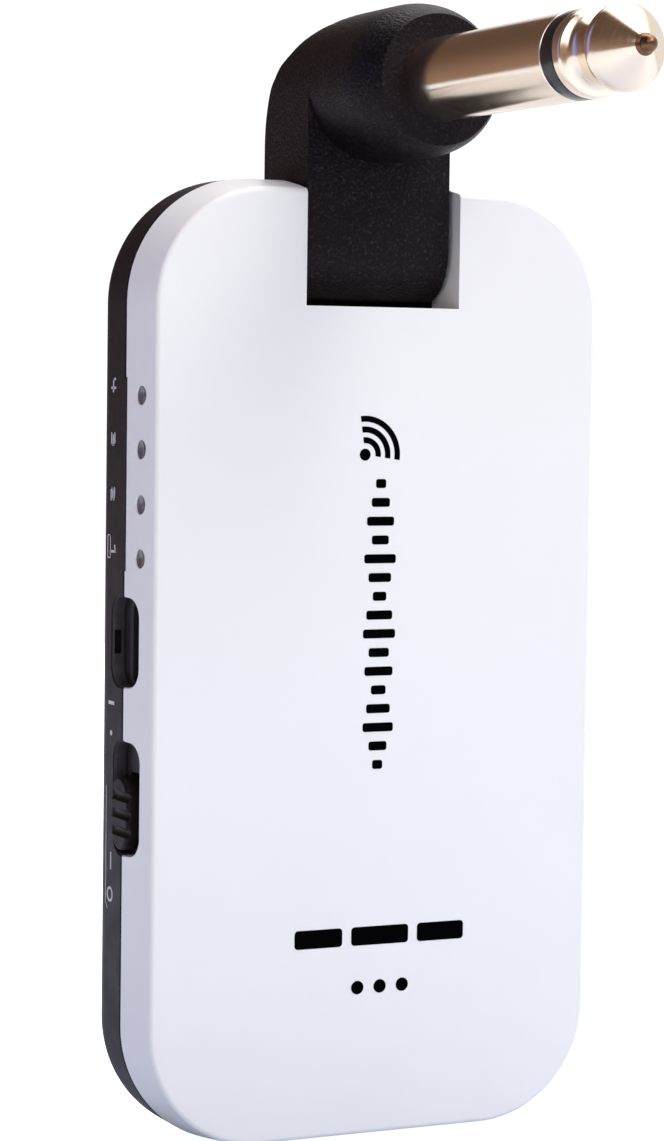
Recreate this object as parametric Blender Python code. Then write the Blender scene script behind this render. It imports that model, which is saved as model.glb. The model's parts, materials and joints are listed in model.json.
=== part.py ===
"""Clip-on wireless transmitter for an electric guitar: a slim case hinged to a 6.35 mm plug.

Lengths are in millimetres and become metres when a mesh is made. The origin is the centre of
the plug's shoulder, on the plug's axis. The plug points along -Y and the case hangs towards -Z.
Depths are counted back from the case's front face, and heights up from its lower end.
"""

import math

import bmesh
import bpy
from mathutils import Matrix, Vector

MM = 0.001
SMOOTH_ANGLE = math.radians(35)

# Plug
PLUG_RADIUS = 3.175
PLUG_LENGTH = 31.1
RING_START = 21.0
RING_WIDTH = 1.7
BULB_RADIUS = 3.08
NOSE_RADIUS = 0.62
ROD_RADIUS = 1.15
SLEEVE_BORE = 2.15

# Swivel arm and its head
ARM_WIDTH = 12.6
ARM_DEPTH = 8.3
HEAD_RADIUS = 6.3
HEAD_TOP = 6.15
HEAD_BOTTOM = 5.8
RIM_RADIUS = 5.05
RIM_ROUNDING = 8.0
RIM_ROUNDING_LENGTH = 4.3
ELBOW_RADIUS = 10.4
PARTING_GAP = 0.1
HINGE_Y = 14.55
HINGE_Z = -12.6
TUBE_RADIUS = 1.55
TUBE_BORE = 0.95
TUBE_HALF_LENGTH = 9.9

# Case
CASE_WIDTH = 40.0
CASE_HEIGHT = 77.0
CASE_DEPTH = 11.6
CORNER_RADIUS = 10.0
COVER_DEPTH = 4.8
TOP_SLOPE = 1.35
SEAM_GAP = 0.1
WALL = 1.6
FRONT_WALL = 1.2
BACK_EDGE_RADIUS = 3.2
CASE_FRONT_Y = 9.3
CASE_BOTTOM_Z = -84.2
CAVITY_BACK = 9.7
BATTERY_BAY_BACK = 10.4
BATTERY_BAY_TOP = 46.0

# Notch for the arm
NOTCH_WIDTH = 13.5
NOTCH_FLOOR = 67.0
NOTCH_BACK = 9.75
NOTCH_CHEEK = 2.5
BUSH_RADIUS = 2.5
BUSH_BORE = 1.62

# Round recess in the back, with two screws
RECESS_RADIUS = 17.4
RECESS_HEIGHT = 67.0
RECESS_DEPTH = 0.7
RECESS_EDGE_INSET = 2.9
SCREW_X = 10.5
SCREW_HEIGHT = 66.4
SCREW_SHANK = 0.85
SCREW_HEAD = 1.7

# Left side: status lights, charging socket and power switch
LIGHT_DEPTH = 2.3
LIGHT_HEIGHTS = (59.8, 55.6, 51.3, 47.1)
LIGHT_HOLE_RADIUS = 0.65
SOCKET_HEIGHT = 40.4
SOCKET_OPENING = (5.0, 7.1)
SWITCH_HEIGHT = 28.07
SWITCH_OPENING = (4.7, 9.0)
SWITCH_DEPTH = 4.35
OPENING_CORNER = 1.6
KNOB_SIZE = (3.6, 5.95)
KNOB_HEIGHT = 26.9
KNOB_TRAVEL = 2.2
KNOB_OUT = 20.3
BEZEL_OUT = 18.9
BEZEL_THICKNESS = 0.8

# Right side: channel button
BUTTON_DEPTH = 5.4
BUTTON_HEIGHT = 47.5
BUTTON_SIZE = (3.1, 8.5)
BUTTON_OUT = 20.4
FIT = 0.15

# Circuit board and battery
BOARD_FRONT = 6.3
BOARD_THICKNESS = 0.8
BOARD_HALF_WIDTH = 17.1
BOARD_LOW = 14.0
BOARD_HIGH = 62.5
BOARD_SCREWS = ((-12.5, 50.5), (14.0, 56.5))
BATTERY = (30.0, 2.6, 38.0)
BATTERY_LOW = 5.0

MATERIALS = {
    "white_shell": ((0.84, 0.84, 0.87), 0.42, 0.0),
    "black_shell": ((0.035, 0.032, 0.036), 0.55, 0.0),
    "button_grey": ((0.12, 0.11, 0.12), 0.50, 0.0),
    "gold_plate": ((0.83, 0.62, 0.33), 0.20, 1.0),
    "insulator": ((0.02, 0.02, 0.02), 0.40, 0.0),
    "steel": ((0.60, 0.60, 0.62), 0.35, 1.0),
    "nylon": ((0.75, 0.74, 0.70), 0.55, 0.0),
    "clear_guide": ((0.80, 0.84, 0.86), 0.20, 0.0),
    "circuit_board": ((0.03, 0.16, 0.08), 0.50, 0.0),
    "chip": ((0.03, 0.03, 0.03), 0.50, 0.0),
    "lamp": ((0.80, 0.78, 0.62), 0.35, 0.0),
    "battery_foil": ((0.62, 0.64, 0.67), 0.30, 0.8),
    "foam": ((0.10, 0.10, 0.10), 0.90, 0.0),
    "cable": ((0.06, 0.06, 0.06), 0.50, 0.0),
}


def depth(value):
    """Y of a point this far behind the case's front face."""
    return CASE_FRONT_Y + value


def height(value):
    """Z of a point this far above the case's lower end."""
    return CASE_BOTTOM_Z + value


# ---------------------------------------------------------------- scene helpers


def clear_scene():
    for thing in list(bpy.data.objects):
        bpy.data.objects.remove(thing, do_unlink=True)


def make_material(name):
    color, roughness, metallic = MATERIALS[name]
    material = bpy.data.materials.new(name)
    material.use_nodes = True
    shader = material.node_tree.nodes["Principled BSDF"]
    shader.inputs["Base Color"].default_value = (*color, 1.0)
    shader.inputs["Roughness"].default_value = roughness
    shader.inputs["Metallic"].default_value = metallic
    material.diffuse_color = (*color, 1.0)
    return material


def material_for(name):
    return bpy.data.materials.get(name) or make_material(name)


def make_frame(name, x, y, z):
    """An empty on a joint's axis, which the pieces of one moving body hang from."""
    frame = bpy.data.objects.new(name, None)
    frame.location = Vector((x, y, z)) * MM
    bpy.context.scene.collection.objects.link(frame)
    return frame


def finish_mesh(name, mesh):
    """Turns a bmesh in millimetres into an object in metres."""
    bmesh.ops.remove_doubles(mesh, verts=mesh.verts, dist=1e-5)
    bmesh.ops.recalc_face_normals(mesh, faces=mesh.faces)
    bmesh.ops.scale(mesh, vec=(MM, MM, MM), verts=mesh.verts)
    data = bpy.data.meshes.new(name)
    mesh.to_mesh(data)
    mesh.free()
    data.shade_smooth()
    data.set_sharp_from_angle(angle=SMOOTH_ANGLE)
    thing = bpy.data.objects.new(name, data)
    bpy.context.scene.collection.objects.link(thing)
    return thing


def place(thing, frame, material):
    """Makes a finished object a piece of the body that hangs from frame."""
    thing.data.materials.append(material_for(material))
    thing.parent = frame
    thing.matrix_parent_inverse = Matrix.Translation(frame.location).inverted()
    return thing


def combine(thing, operation, *others):
    """Applies a Boolean with each helper in turn, and keeps the helpers out of the model."""
    for other in others:
        other.hide_render = True
        other.display_type = "WIRE"
        modifier = thing.modifiers.new(other.name, "BOOLEAN")
        modifier.operation = operation
        modifier.object = other
    return thing


# ---------------------------------------------------------------- shape helpers


def arc(centre, radius, start, end, steps):
    """Points on a circle, from start to end degrees."""
    points = []
    for i in range(steps + 1):
        angle = math.radians(start + (end - start) * i / steps)
        points.append((centre[0] + radius * math.cos(angle), centre[1] + radius * math.sin(angle)))
    return points


def rounded_rectangle(half_width, low, high, radius, steps):
    points = []
    points += arc((half_width - radius, high - radius), radius, 0, 90, steps)
    points += arc((-half_width + radius, high - radius), radius, 90, 180, steps)
    points += arc((-half_width + radius, low + radius), radius, 180, 270, steps)
    points += arc((half_width - radius, low + radius), radius, 270, 360, steps)
    return points


def stadium(centre_y, centre_z, width, length, steps=8):
    """Outline in Y and Z with round ends, its length along Z."""
    radius = width / 2
    straight = length / 2 - radius
    top = arc((centre_y, centre_z + straight), radius, 0, 180, steps)
    bottom = arc((centre_y, centre_z - straight), radius, 180, 360, steps)
    return top + bottom


AXIS_MAPS = {
    "X": lambda a, b, along: (along, a, b),
    "Y": lambda a, b, along: (a, along, b),
    "Z": lambda a, b, along: (a, b, along),
}


def prism(name, outline, axis, low, high):
    """An outline in the plane across an axis, extruded along that axis."""
    to_point = AXIS_MAPS[axis]
    mesh = bmesh.new()
    corners = [mesh.verts.new(to_point(a, b, low)) for a, b in outline]
    base = mesh.faces.new(corners)
    grown = bmesh.ops.extrude_face_region(mesh, geom=[base])
    moved = [item for item in grown["geom"] if isinstance(item, bmesh.types.BMVert)]
    bmesh.ops.translate(mesh, verts=moved, vec=Vector(to_point(0, 0, high - low)))
    return finish_mesh(name, mesh)


def block(name, x, y, z):
    """A box given as its low and high value along each axis."""
    outline = [(x[0], y[0]), (x[1], y[0]), (x[1], y[1]), (x[0], y[1])]
    return prism(name, outline, "Z", z[0], z[1])


def turned(name, profile, axis, centre, steps):
    """A profile of (distance along the axis, radius) turned about the axis.

    A profile that starts and ends on the axis is a solid piece, any other is a closed ring.
    """
    to_point = AXIS_MAPS[axis]
    middle = Vector(centre)
    direction = Vector(to_point(0, 0, 1))
    mesh = bmesh.new()
    points = [mesh.verts.new(middle + Vector(to_point(0, radius, along))) for along, radius in profile]
    solid = profile[0][1] == 0 and profile[-1][1] == 0
    pairs = list(zip(points, points[1:]))
    if not solid:
        pairs.append((points[-1], points[0]))
    edges = [mesh.edges.new(pair) for pair in pairs]
    bmesh.ops.spin(
        mesh, geom=points + edges, cent=middle, axis=direction, dvec=(0, 0, 0),
        angle=2 * math.pi, steps=steps, use_merge=True, use_duplicate=False,
    )
    return finish_mesh(name, mesh)


def rod(name, radius, axis, centre, low, high, steps=24):
    return turned(name, [(low, 0), (low, radius), (high, radius), (high, 0)], axis, centre, steps)


def ring(name, bore, radius, axis, centre, low, high, steps=24):
    profile = [(low, bore), (low, radius), (high, radius), (high, bore)]
    return turned(name, profile, axis, centre, steps)


def loft(name, rings):
    """Outlines of equal length, each (y, points in X and Z), bridged from front to back."""
    mesh = bmesh.new()
    loops = [[mesh.verts.new((x, y, z)) for x, z in outline] for y, outline in rings]
    for front, back in zip(loops, loops[1:]):
        for i in range(len(front)):
            j = (i + 1) % len(front)
            mesh.faces.new((front[i], front[j], back[j], back[i]))
    mesh.faces.new(loops[0])
    mesh.faces.new(loops[-1])
    return finish_mesh(name, mesh)


def tube_along(name, points, radius):
    """A round cable through the given points, with its ends closed."""
    curve = bpy.data.curves.new(name, "CURVE")
    curve.dimensions = "3D"
    curve.bevel_depth = radius * MM
    curve.bevel_resolution = 2
    curve.use_fill_caps = True
    spline = curve.splines.new("POLY")
    smooth = smooth_path(points)
    spline.points.add(len(smooth) - 1)
    for target, point in zip(spline.points, smooth):
        target.co = (*(point * MM), 1.0)
    thing = bpy.data.objects.new(name, curve)
    bpy.context.scene.collection.objects.link(thing)
    return thing


def smooth_path(points, steps=5):
    """A Catmull-Rom curve through the points."""
    knots = [Vector(point) for point in points]
    knots = [2 * knots[0] - knots[1]] + knots + [2 * knots[-1] - knots[-2]]
    path = []
    for a, b, c, d in zip(knots, knots[1:], knots[2:], knots[3:]):
        for i in range(steps):
            t = i / steps
            path.append(
                0.5 * (2 * b + (c - a) * t + (2 * a - 5 * b + 4 * c - d) * t**2
                       + (3 * b - a - 3 * c + d) * t**3)
            )
    path.append(knots[-2])
    return path


# ---------------------------------------------------------------- plug


def make_plug(frame):
    centre = (0, 0, 0)
    sleeve = turned(
        "plug_sleeve",
        [(-RING_START, SLEEVE_BORE), (-RING_START, PLUG_RADIUS), (3.9, PLUG_RADIUS),
         (3.9, 3.95), (5.1, 3.95), (5.1, 2.9), (6.6, 2.9), (6.6, SLEEVE_BORE)],
        "Y", centre, 40,
    )
    place(sleeve, frame, "gold_plate")
    insulator = turned(
        "plug_insulator",
        [(-RING_START - RING_WIDTH, 1.3), (-RING_START - RING_WIDTH, PLUG_RADIUS),
         (-RING_START - 0.05, PLUG_RADIUS), (-RING_START - 0.05, 2.05), (7.3, 2.05), (7.3, 1.3)],
        "Y", centre, 40,
    )
    place(insulator, frame, "insulator")
    place(make_tip(centre), frame, "gold_plate")
    lug = ring("sleeve_tag", 2.98, 3.9, "Y", centre, 5.2, 5.6)
    place(lug, frame, "steel")
    nut_outline = arc((0, 0), 3.9, 0, 300, 5)
    nut = prism("plug_nut", nut_outline, "Y", 5.7, 6.7)
    combine(nut, "DIFFERENCE", rod("nut_bore", 2.98, "Y", centre, 5, 8))
    place(nut, frame, "steel")
    tip_tag = ring("tip_tag", ROD_RADIUS + 0.05, 1.9, "Y", centre, 7.4, 7.8)
    place(tip_tag, frame, "steel")


def make_tip(centre):
    """Collar, groove, bulb, cone and small round nose, on a rod through the plug."""
    start = -RING_START - RING_WIDTH - 0.05
    nose = -PLUG_LENGTH + NOSE_RADIUS
    profile = [(8.3, 0), (8.3, ROD_RADIUS), (start, ROD_RADIUS), (start, PLUG_RADIUS)]
    profile += [(start - 1.0, PLUG_RADIUS), (start - 1.5, 2.4), (start - 2.0, 2.3)]
    profile += [(start - 3.3, 2.4), (start - 4.1, 2.98), (start - 4.55, BULB_RADIUS)]
    profile += [(start - 4.95, 3.0), (nose + 0.45, 0.5)]
    profile += arc((nose, 0), NOSE_RADIUS, 60, 150, 3)
    profile.append((-PLUG_LENGTH, 0))
    return turned("plug_tip", profile, "Y", centre, 40)


# ---------------------------------------------------------------- swivel arm


def head_section(radius):
    """A round section, a little flattened above and below where the head is at its fullest."""
    share = min(max((radius - RIM_RADIUS) / (HEAD_RADIUS - RIM_RADIUS), 0), 1)
    above = 1 + share * (HEAD_TOP / HEAD_RADIUS - 1)
    below = 1 + share * (HEAD_BOTTOM / HEAD_RADIUS - 1)
    circle = arc((0, 0), radius, 0, 360, 32)[:-1]
    return [(x, z * (above if z > 0 else below)) for x, z in circle]


def elbow_top(y):
    """Height of the elbow's round back at a depth."""
    run = max(y - (HINGE_Y + ARM_DEPTH / 2 - ELBOW_RADIUS), 0)
    return HEAD_TOP - ELBOW_RADIUS + math.sqrt(max(ELBOW_RADIUS**2 - run**2, 0))


def neck_section(y):
    """Outline of the arm across X and Z at a depth behind the head's overhang."""
    half = ARM_WIDTH / 2
    top = elbow_top(y)
    bottom = HINGE_Z - math.sqrt(max((ARM_DEPTH / 2) ** 2 - (y - HINGE_Y) ** 2, 0))
    start = min(top, 0)
    arch = HEAD_TOP / half
    outline = [(x, min(z * arch, top)) for x, z in arc((0, 0), half, 0, 180, 16)]
    outline += [(-half, start + (bottom - start) * i / 4) for i in range(1, 5)]
    outline += [(-half + ARM_WIDTH * i / 8, bottom) for i in range(1, 8)]
    outline += [(half, bottom + (start - bottom) * i / 4) for i in range(4)]
    return outline


def arm_rings():
    """Sections from the flat rim, over the rounded head, to the back of the neck."""
    front = HINGE_Y - ARM_DEPTH / 2
    rings = []
    steps = 5
    for i in range(steps + 1):
        run = RIM_ROUNDING_LENGTH * (1 - i / steps)
        drop = RIM_ROUNDING - math.sqrt(RIM_ROUNDING**2 - run**2)
        rings.append((RIM_ROUNDING_LENGTH - run, head_section(HEAD_RADIUS - drop)))
    for y in (front - 2.1, front - 1.0, front):
        rings.append((y, [(x, min(z, elbow_top(y))) for x, z in head_section(HEAD_RADIUS)]))
    for angle in range(-90, 91, 15):
        y = HINGE_Y + ARM_DEPTH / 2 * math.sin(math.radians(angle))
        rings.append((y, neck_section(y)))
    return rings


def arm_half(name, side, frame):
    """One moulded half of the arm, split on the mid-plane, with the room inside it cut out."""
    half = ARM_WIDTH / 2
    body = loft(name, arm_rings())
    combine(
        body, "DIFFERENCE",
        rod(name + "_plug_bore", PLUG_RADIUS + 0.1, "Y", (0, 0, 0), -2, 6, 28),
        rod(name + "_head_room", 4.3, "Y", (0, 0, 0), 3.7, 10.2, 28),
        rod(name + "_cable_room", 2.6, "Y", (0, 0, 0), 9.8, 14.5, 28),
        block(name + "_channel", (-1.4, 1.4), (HINGE_Y - 1.6, HINGE_Y + 1.6), (HINGE_Z, -1)),
        rod(name + "_hinge_bore", TUBE_RADIUS + 0.05, "X", (0, HINGE_Y, HINGE_Z), -half - 1, half + 1),
    )
    low, high = sorted((side * PARTING_GAP / 2, side * (half + 2)))
    combine(body, "INTERSECT", block(name + "_side", (low, high), (-3, 30), (-30, 20)))
    return place(body, frame, "black_shell")


def make_hinge_tube(frame):
    """Hollow pivot fixed in the arm. The signal cable enters it through a slot at its middle."""
    hinge = (0, HINGE_Y, HINGE_Z)
    tube = ring("hinge_tube", TUBE_BORE, TUBE_RADIUS, "X", hinge, -TUBE_HALF_LENGTH, TUBE_HALF_LENGTH)
    slot = block("cable_slot", (-1.2, 1.2), (HINGE_Y - 0.8, HINGE_Y + 0.8), (HINGE_Z, HINGE_Z + 3))
    combine(tube, "DIFFERENCE", slot)
    place(tube, frame, "steel")
    for name, side in (("hinge_clip_left", -1), ("hinge_clip_right", 1)):
        low, high = sorted((side * 9.45, side * 9.75))
        clip = ring(name, TUBE_RADIUS + 0.03, 2.3, "X", hinge, low, high)
        place(clip, frame, "steel")


def make_plug_cable(frame):
    points = (
        (0, 9.6, -0.6), (0, 11.6, -0.8), (0, 13.8, -2.4), (0, HINGE_Y, -5.0), (0, HINGE_Y, -8.0),
        (0, HINGE_Y, -10.4), (0.35, HINGE_Y, HINGE_Z + 0.7), (1.4, HINGE_Y, HINGE_Z),
        (3.5, HINGE_Y, HINGE_Z), (6.5, HINGE_Y, HINGE_Z), (9.6, HINGE_Y, HINGE_Z),
    )
    place(tube_along("plug_cable", points, 0.4), frame, "cable")


# ---------------------------------------------------------------- case shells


def case_outline(inset, slope=1.0, steps=9):
    """The case's outline drawn in by an inset, which the slope multiplies at the top end."""
    return rounded_rectangle(
        CASE_WIDTH / 2 - inset, height(inset), height(CASE_HEIGHT - inset * slope),
        CORNER_RADIUS - inset, steps,
    )


def notch_keep_out(name, low, high):
    """The part of the cavity that stays solid round the notch, as its cheeks and floor."""
    half = NOTCH_WIDTH / 2 + NOTCH_CHEEK
    return block(name, (-half, half), (depth(low), depth(high)), (height(NOTCH_FLOOR - 1.2), height(80)))


def side_cutters(prefix):
    """Cutters for the openings that both shells share on their left and right walls."""
    button_hole = (BUTTON_SIZE[0] + 2 * FIT, BUTTON_SIZE[1] + 2 * FIT)
    button = stadium(depth(BUTTON_DEPTH), height(BUTTON_HEIGHT), *button_hole)
    openings = (
        ("socket", SOCKET_HEIGHT, SOCKET_OPENING, COVER_DEPTH),
        ("switch", SWITCH_HEIGHT, SWITCH_OPENING, SWITCH_DEPTH),
    )
    cutters = [prism(prefix + "_button", button, "X", 17, 22)]
    for word, level, (wide, long), centre in openings:
        low, high = height(level - long / 2), height(level + long / 2)
        corners = rounded_rectangle(wide / 2, low, high, OPENING_CORNER, 5)
        outline = [(depth(centre) + y, z) for y, z in corners]
        cutters.append(prism(f"{prefix}_{word}", outline, "X", -22, -17))
    pocket = block(
        prefix + "_bezel_pocket", (-19.0, -16), (depth(1.5), depth(8.1)), (height(22.3), height(45.2)),
    )
    bore = rod(prefix + "_bush_bore", BUSH_RADIUS + 0.1, "X", (0, HINGE_Y, HINGE_Z), -12, 12, 28)
    return cutters + [pocket, bore]


def make_front_cover(frame):
    steps = ((0.0, 0.95), (0.12, 0.72), (0.4, 0.60), (COVER_DEPTH, 0.0))
    cover = loft("front_cover", [(depth(y), case_outline(inset, TOP_SLOPE)) for y, inset in steps])
    room = case_outline(WALL, TOP_SLOPE)
    cavity = loft("cover_cavity", [(depth(FRONT_WALL), room), (depth(6), room)])
    combine(cavity, "DIFFERENCE", notch_keep_out("cover_cheeks", 0, 7))
    combine(cover, "DIFFERENCE", cavity)
    for sign in (-1, 1):
        side = "left" if sign < 0 else "right"
        centre = (sign * SCREW_X, 0, height(SCREW_HEIGHT))
        boss = rod(f"cover_boss_{side}", 2.2, "Y", centre, depth(0.8), depth(COVER_DEPTH), 20)
        hook_x = (sign * 10 - 2, sign * 10 + 2)
        hook_z = (height(1.95), height(3.1))
        hook = block(f"cover_hook_{side}", hook_x, (depth(0.8), depth(7)), hook_z)
        combine(cover, "UNION", boss, hook)
    for i, (x, z) in enumerate(BOARD_SCREWS):
        centre = (x, 0, height(z))
        post = rod(f"board_post_{i}", 1.7, "Y", centre, depth(0.8), depth(BOARD_FRONT - 0.1), 20)
        combine(cover, "UNION", post)
        pilot = rod(f"board_pilot_{i}", 0.7, "Y", centre, depth(2.5), depth(7), 16)
        combine(cover, "DIFFERENCE", pilot)
    for side, x in (("left", -SCREW_X), ("right", SCREW_X)):
        centre = (x, 0, height(SCREW_HEIGHT))
        pilot = rod(f"case_pilot_{side}", 0.95, "Y", centre, depth(1.8), depth(6), 16)
        combine(cover, "DIFFERENCE", pilot)
    half = NOTCH_WIDTH / 2
    notch = block("cover_notch", (-half, half), (depth(-1), depth(6)), (height(NOTCH_FLOOR), height(80)))
    combine(cover, "DIFFERENCE", notch, *side_cutters("cover"))
    for i, level in enumerate(LIGHT_HEIGHTS):
        centre = (0, depth(LIGHT_DEPTH), height(level))
        combine(cover, "DIFFERENCE", rod(f"light_hole_{i}", LIGHT_HOLE_RADIUS, "X", centre, -21, -18, 16))
    return place(cover, frame, "white_shell")


def back_shell_rings():
    start = CASE_DEPTH - BACK_EDGE_RADIUS
    rings = [(depth(COVER_DEPTH + SEAM_GAP), case_outline(0)), (depth(start), case_outline(0))]
    steps = 5
    for i in range(1, steps + 1):
        angle = math.pi / 2 * i / steps
        inset = BACK_EDGE_RADIUS * (1 - math.cos(angle))
        rings.append((depth(start + BACK_EDGE_RADIUS * math.sin(angle)), case_outline(inset)))
    return rings


def make_back_shell(frame):
    shell = loft("back_shell", back_shell_rings())
    room = case_outline(WALL)
    cavity = loft("shell_cavity", [(depth(3), room), (depth(CAVITY_BACK), room)])
    combine(cavity, "DIFFERENCE", notch_keep_out("shell_cheeks", 2, 12))
    bay = block(
        "battery_bay", (-16.5, 16.5), (depth(9), depth(BATTERY_BAY_BACK)),
        (height(4), height(BATTERY_BAY_TOP)),
    )
    combine(shell, "DIFFERENCE", cavity, bay)
    bosses = []
    holes = []
    for side, x in (("left", -SCREW_X), ("right", SCREW_X)):
        centre = (x, 0, height(SCREW_HEIGHT))
        seat = depth(COVER_DEPTH + SEAM_GAP)
        bosses.append(rod(f"shell_boss_{side}", 2.3, "Y", centre, seat, depth(10.2), 20))
        holes.append(rod(f"shell_hole_{side}", 1.1, "Y", centre, depth(4), depth(12), 16))
        holes.append(rod(f"shell_counterbore_{side}", 1.95, "Y", centre, depth(8.7), depth(12), 24))
    combine(shell, "UNION", *bosses)
    recess = rod(
        "round_recess", RECESS_RADIUS, "Y", (0, 0, height(RECESS_HEIGHT)),
        depth(CASE_DEPTH - RECESS_DEPTH), depth(CASE_DEPTH + 1), 64,
    )
    edge = case_outline(RECESS_EDGE_INSET)
    rim = loft("recess_rim", [(depth(9), edge), (depth(14), edge)])
    combine(recess, "INTERSECT", rim)
    half = NOTCH_WIDTH / 2
    notch_z = (height(NOTCH_FLOOR), height(80))
    notch = block("shell_notch", (-half, half), (depth(3), depth(NOTCH_BACK)), notch_z)
    combine(shell, "DIFFERENCE", recess, *holes, notch, *side_cutters("shell"))
    return place(shell, frame, "black_shell")


def make_hinge_bearings(frame):
    """Bushes in the notch's cheeks and thin friction washers against the arm."""
    hinge = (0, HINGE_Y, HINGE_Z)
    half = NOTCH_WIDTH / 2
    for side, sign in (("left", -1), ("right", 1)):
        low, high = sorted((sign * (half + 0.1), sign * (half + NOTCH_CHEEK - 0.05)))
        bush = ring(f"hinge_bush_{side}", BUSH_BORE, BUSH_RADIUS, "X", hinge, low, high)
        place(bush, frame, "nylon")
        low, high = sorted((sign * (ARM_WIDTH / 2 + 0.05), sign * (half - 0.05)))
        washer = ring(f"friction_washer_{side}", BUSH_BORE, 2.9, "X", hinge, low, high)
        place(washer, frame, "steel")


def make_case_screws(frame):
    for side, x in (("left", -SCREW_X), ("right", SCREW_X)):
        profile = [(depth(2.4), 0), (depth(2.9), SCREW_SHANK), (depth(8.8), SCREW_SHANK),
                   (depth(8.8), SCREW_HEAD), (depth(9.7), SCREW_HEAD), (depth(9.95), SCREW_HEAD - 0.3),
                   (depth(9.95), 0)]
        centre = (x, 0, height(SCREW_HEIGHT))
        screw = turned(f"case_screw_{side}", profile, "Y", centre, 20)
        driver = cross_cutter(f"case_screw_slot_{side}", centre, depth(9.4), depth(10.4), 1.8, 0.45)
        combine(screw, "DIFFERENCE", driver)
        place(screw, frame, "steel")


def cross_cutter(name, centre, low, high, length, width):
    """A cross-shaped prism for a driver slot."""
    x, z = centre[0], centre[2]
    a, b = length / 2, width / 2
    outline = [(a, b), (b, b), (b, a), (-b, a), (-b, b), (-a, b), (-a, -b), (-b, -b),
               (-b, -a), (b, -a), (b, -b), (a, -b)]
    return prism(name, [(x + u, z + v) for u, v in outline], "Y", low, high)


# ---------------------------------------------------------------- controls and sockets


def make_bezel(frame):
    """Black plate behind the two openings on the left, with a hole for each part it frames."""
    x = (-BEZEL_OUT, -BEZEL_OUT + BEZEL_THICKNESS)
    bezel = block("side_bezel", x, (depth(1.7), depth(7.9)), (height(22.5), height(45.0)))
    mouth = stadium(depth(COVER_DEPTH), height(SOCKET_HEIGHT), 2.1, 7.1, 4)
    socket = prism("bezel_mouth", mouth, "X", -20, -17)
    slot_low = KNOB_HEIGHT - 1.0
    slot_high = KNOB_HEIGHT + KNOB_TRAVEL + 1.0
    slot = block(
        "bezel_slot", (-20, -17), (depth(COVER_DEPTH - 0.9), depth(COVER_DEPTH + 0.9)),
        (height(slot_low), height(slot_high)),
    )
    combine(bezel, "DIFFERENCE", socket, slot)
    place(bezel, frame, "black_shell")


def make_socket(frame):
    """Micro-USB charging socket: folded metal shell round a contact tongue."""
    centre = depth(COVER_DEPTH)
    level = height(SOCKET_HEIGHT)
    shell = block("usb_shell", (-18.0, -12.6), (centre - 1.3, centre + 1.3), (level - 3.75, level + 3.75))
    room = block("usb_room", (-19.0, -12.0), (centre - 1.0, centre + 1.0), (level - 3.45, level + 3.45))
    combine(shell, "DIFFERENCE", room)
    place(shell, frame, "steel")
    tongue = block("usb_tongue", (-14.2, -12.8), (centre - 0.9, centre + 0.9), (level - 3.3, level + 3.3))
    blade = block("usb_blade", (-17.5, -13.5), (centre + 0.05, centre + 0.6), (level - 1.9, level + 1.9))
    combine(tongue, "UNION", blade)
    place(tongue, frame, "insulator")


def make_switch(case_frame, knob_frame):
    """Slide switch: housing on the board, slider through the bezel, ridged knob outside it."""
    centre = depth(COVER_DEPTH)
    housing = block(
        "switch_housing", (-17.9, -14.2), (centre - 1.4, centre + 1.4),
        (height(SWITCH_HEIGHT - 4.3), height(SWITCH_HEIGHT + 4.3)),
    )
    slot = block(
        "housing_slot", (-19, -16.3), (centre - 0.9, centre + 0.9),
        (height(KNOB_HEIGHT - 1.0), height(KNOB_HEIGHT + KNOB_TRAVEL + 1.0)),
    )
    combine(housing, "DIFFERENCE", slot)
    place(housing, case_frame, "steel")
    slider = block(
        "switch_slider", (-19.45, -16.6), (centre - 0.7, centre + 0.7),
        (height(KNOB_HEIGHT - 0.75), height(KNOB_HEIGHT + 0.75)),
    )
    place(slider, knob_frame, "insulator")
    place(make_knob(), knob_frame, "black_shell")


def make_knob():
    centre = depth(COVER_DEPTH)
    outline = stadium(centre, height(KNOB_HEIGHT), *KNOB_SIZE, 7)
    knob = prism("power_knob", outline, "X", -KNOB_OUT, -BEZEL_OUT - 0.15)
    socket = block(
        "knob_socket", (-19.55, -18), (centre - 0.8, centre + 0.8),
        (height(KNOB_HEIGHT - 0.85), height(KNOB_HEIGHT + 0.85)),
    )
    grooves = []
    for i in (-1, 0, 1):
        level = height(KNOB_HEIGHT + 1.4 * i)
        x = (-21, -KNOB_OUT + 0.35)
        z = (level - 0.25, level + 0.25)
        grooves.append(block(f"knob_groove_{i}", x, (centre - 3, centre + 3), z))
    combine(knob, "DIFFERENCE", socket, *grooves)
    return knob


def make_light_guide(frame):
    """Clear strip with a pin behind each of the four light holes."""
    guide = block("light_guide", (-17.6, -16.6), (depth(1.6), depth(5.2)), (height(46.0), height(60.9)))
    pins = []
    for i, level in enumerate(LIGHT_HEIGHTS):
        centre = (0, depth(LIGHT_DEPTH), height(level))
        pins.append(rod(f"guide_pin_{i}", 0.5, "X", centre, -19.25, -17.2, 12))
    combine(guide, "UNION", *pins)
    place(guide, frame, "clear_guide")


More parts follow.
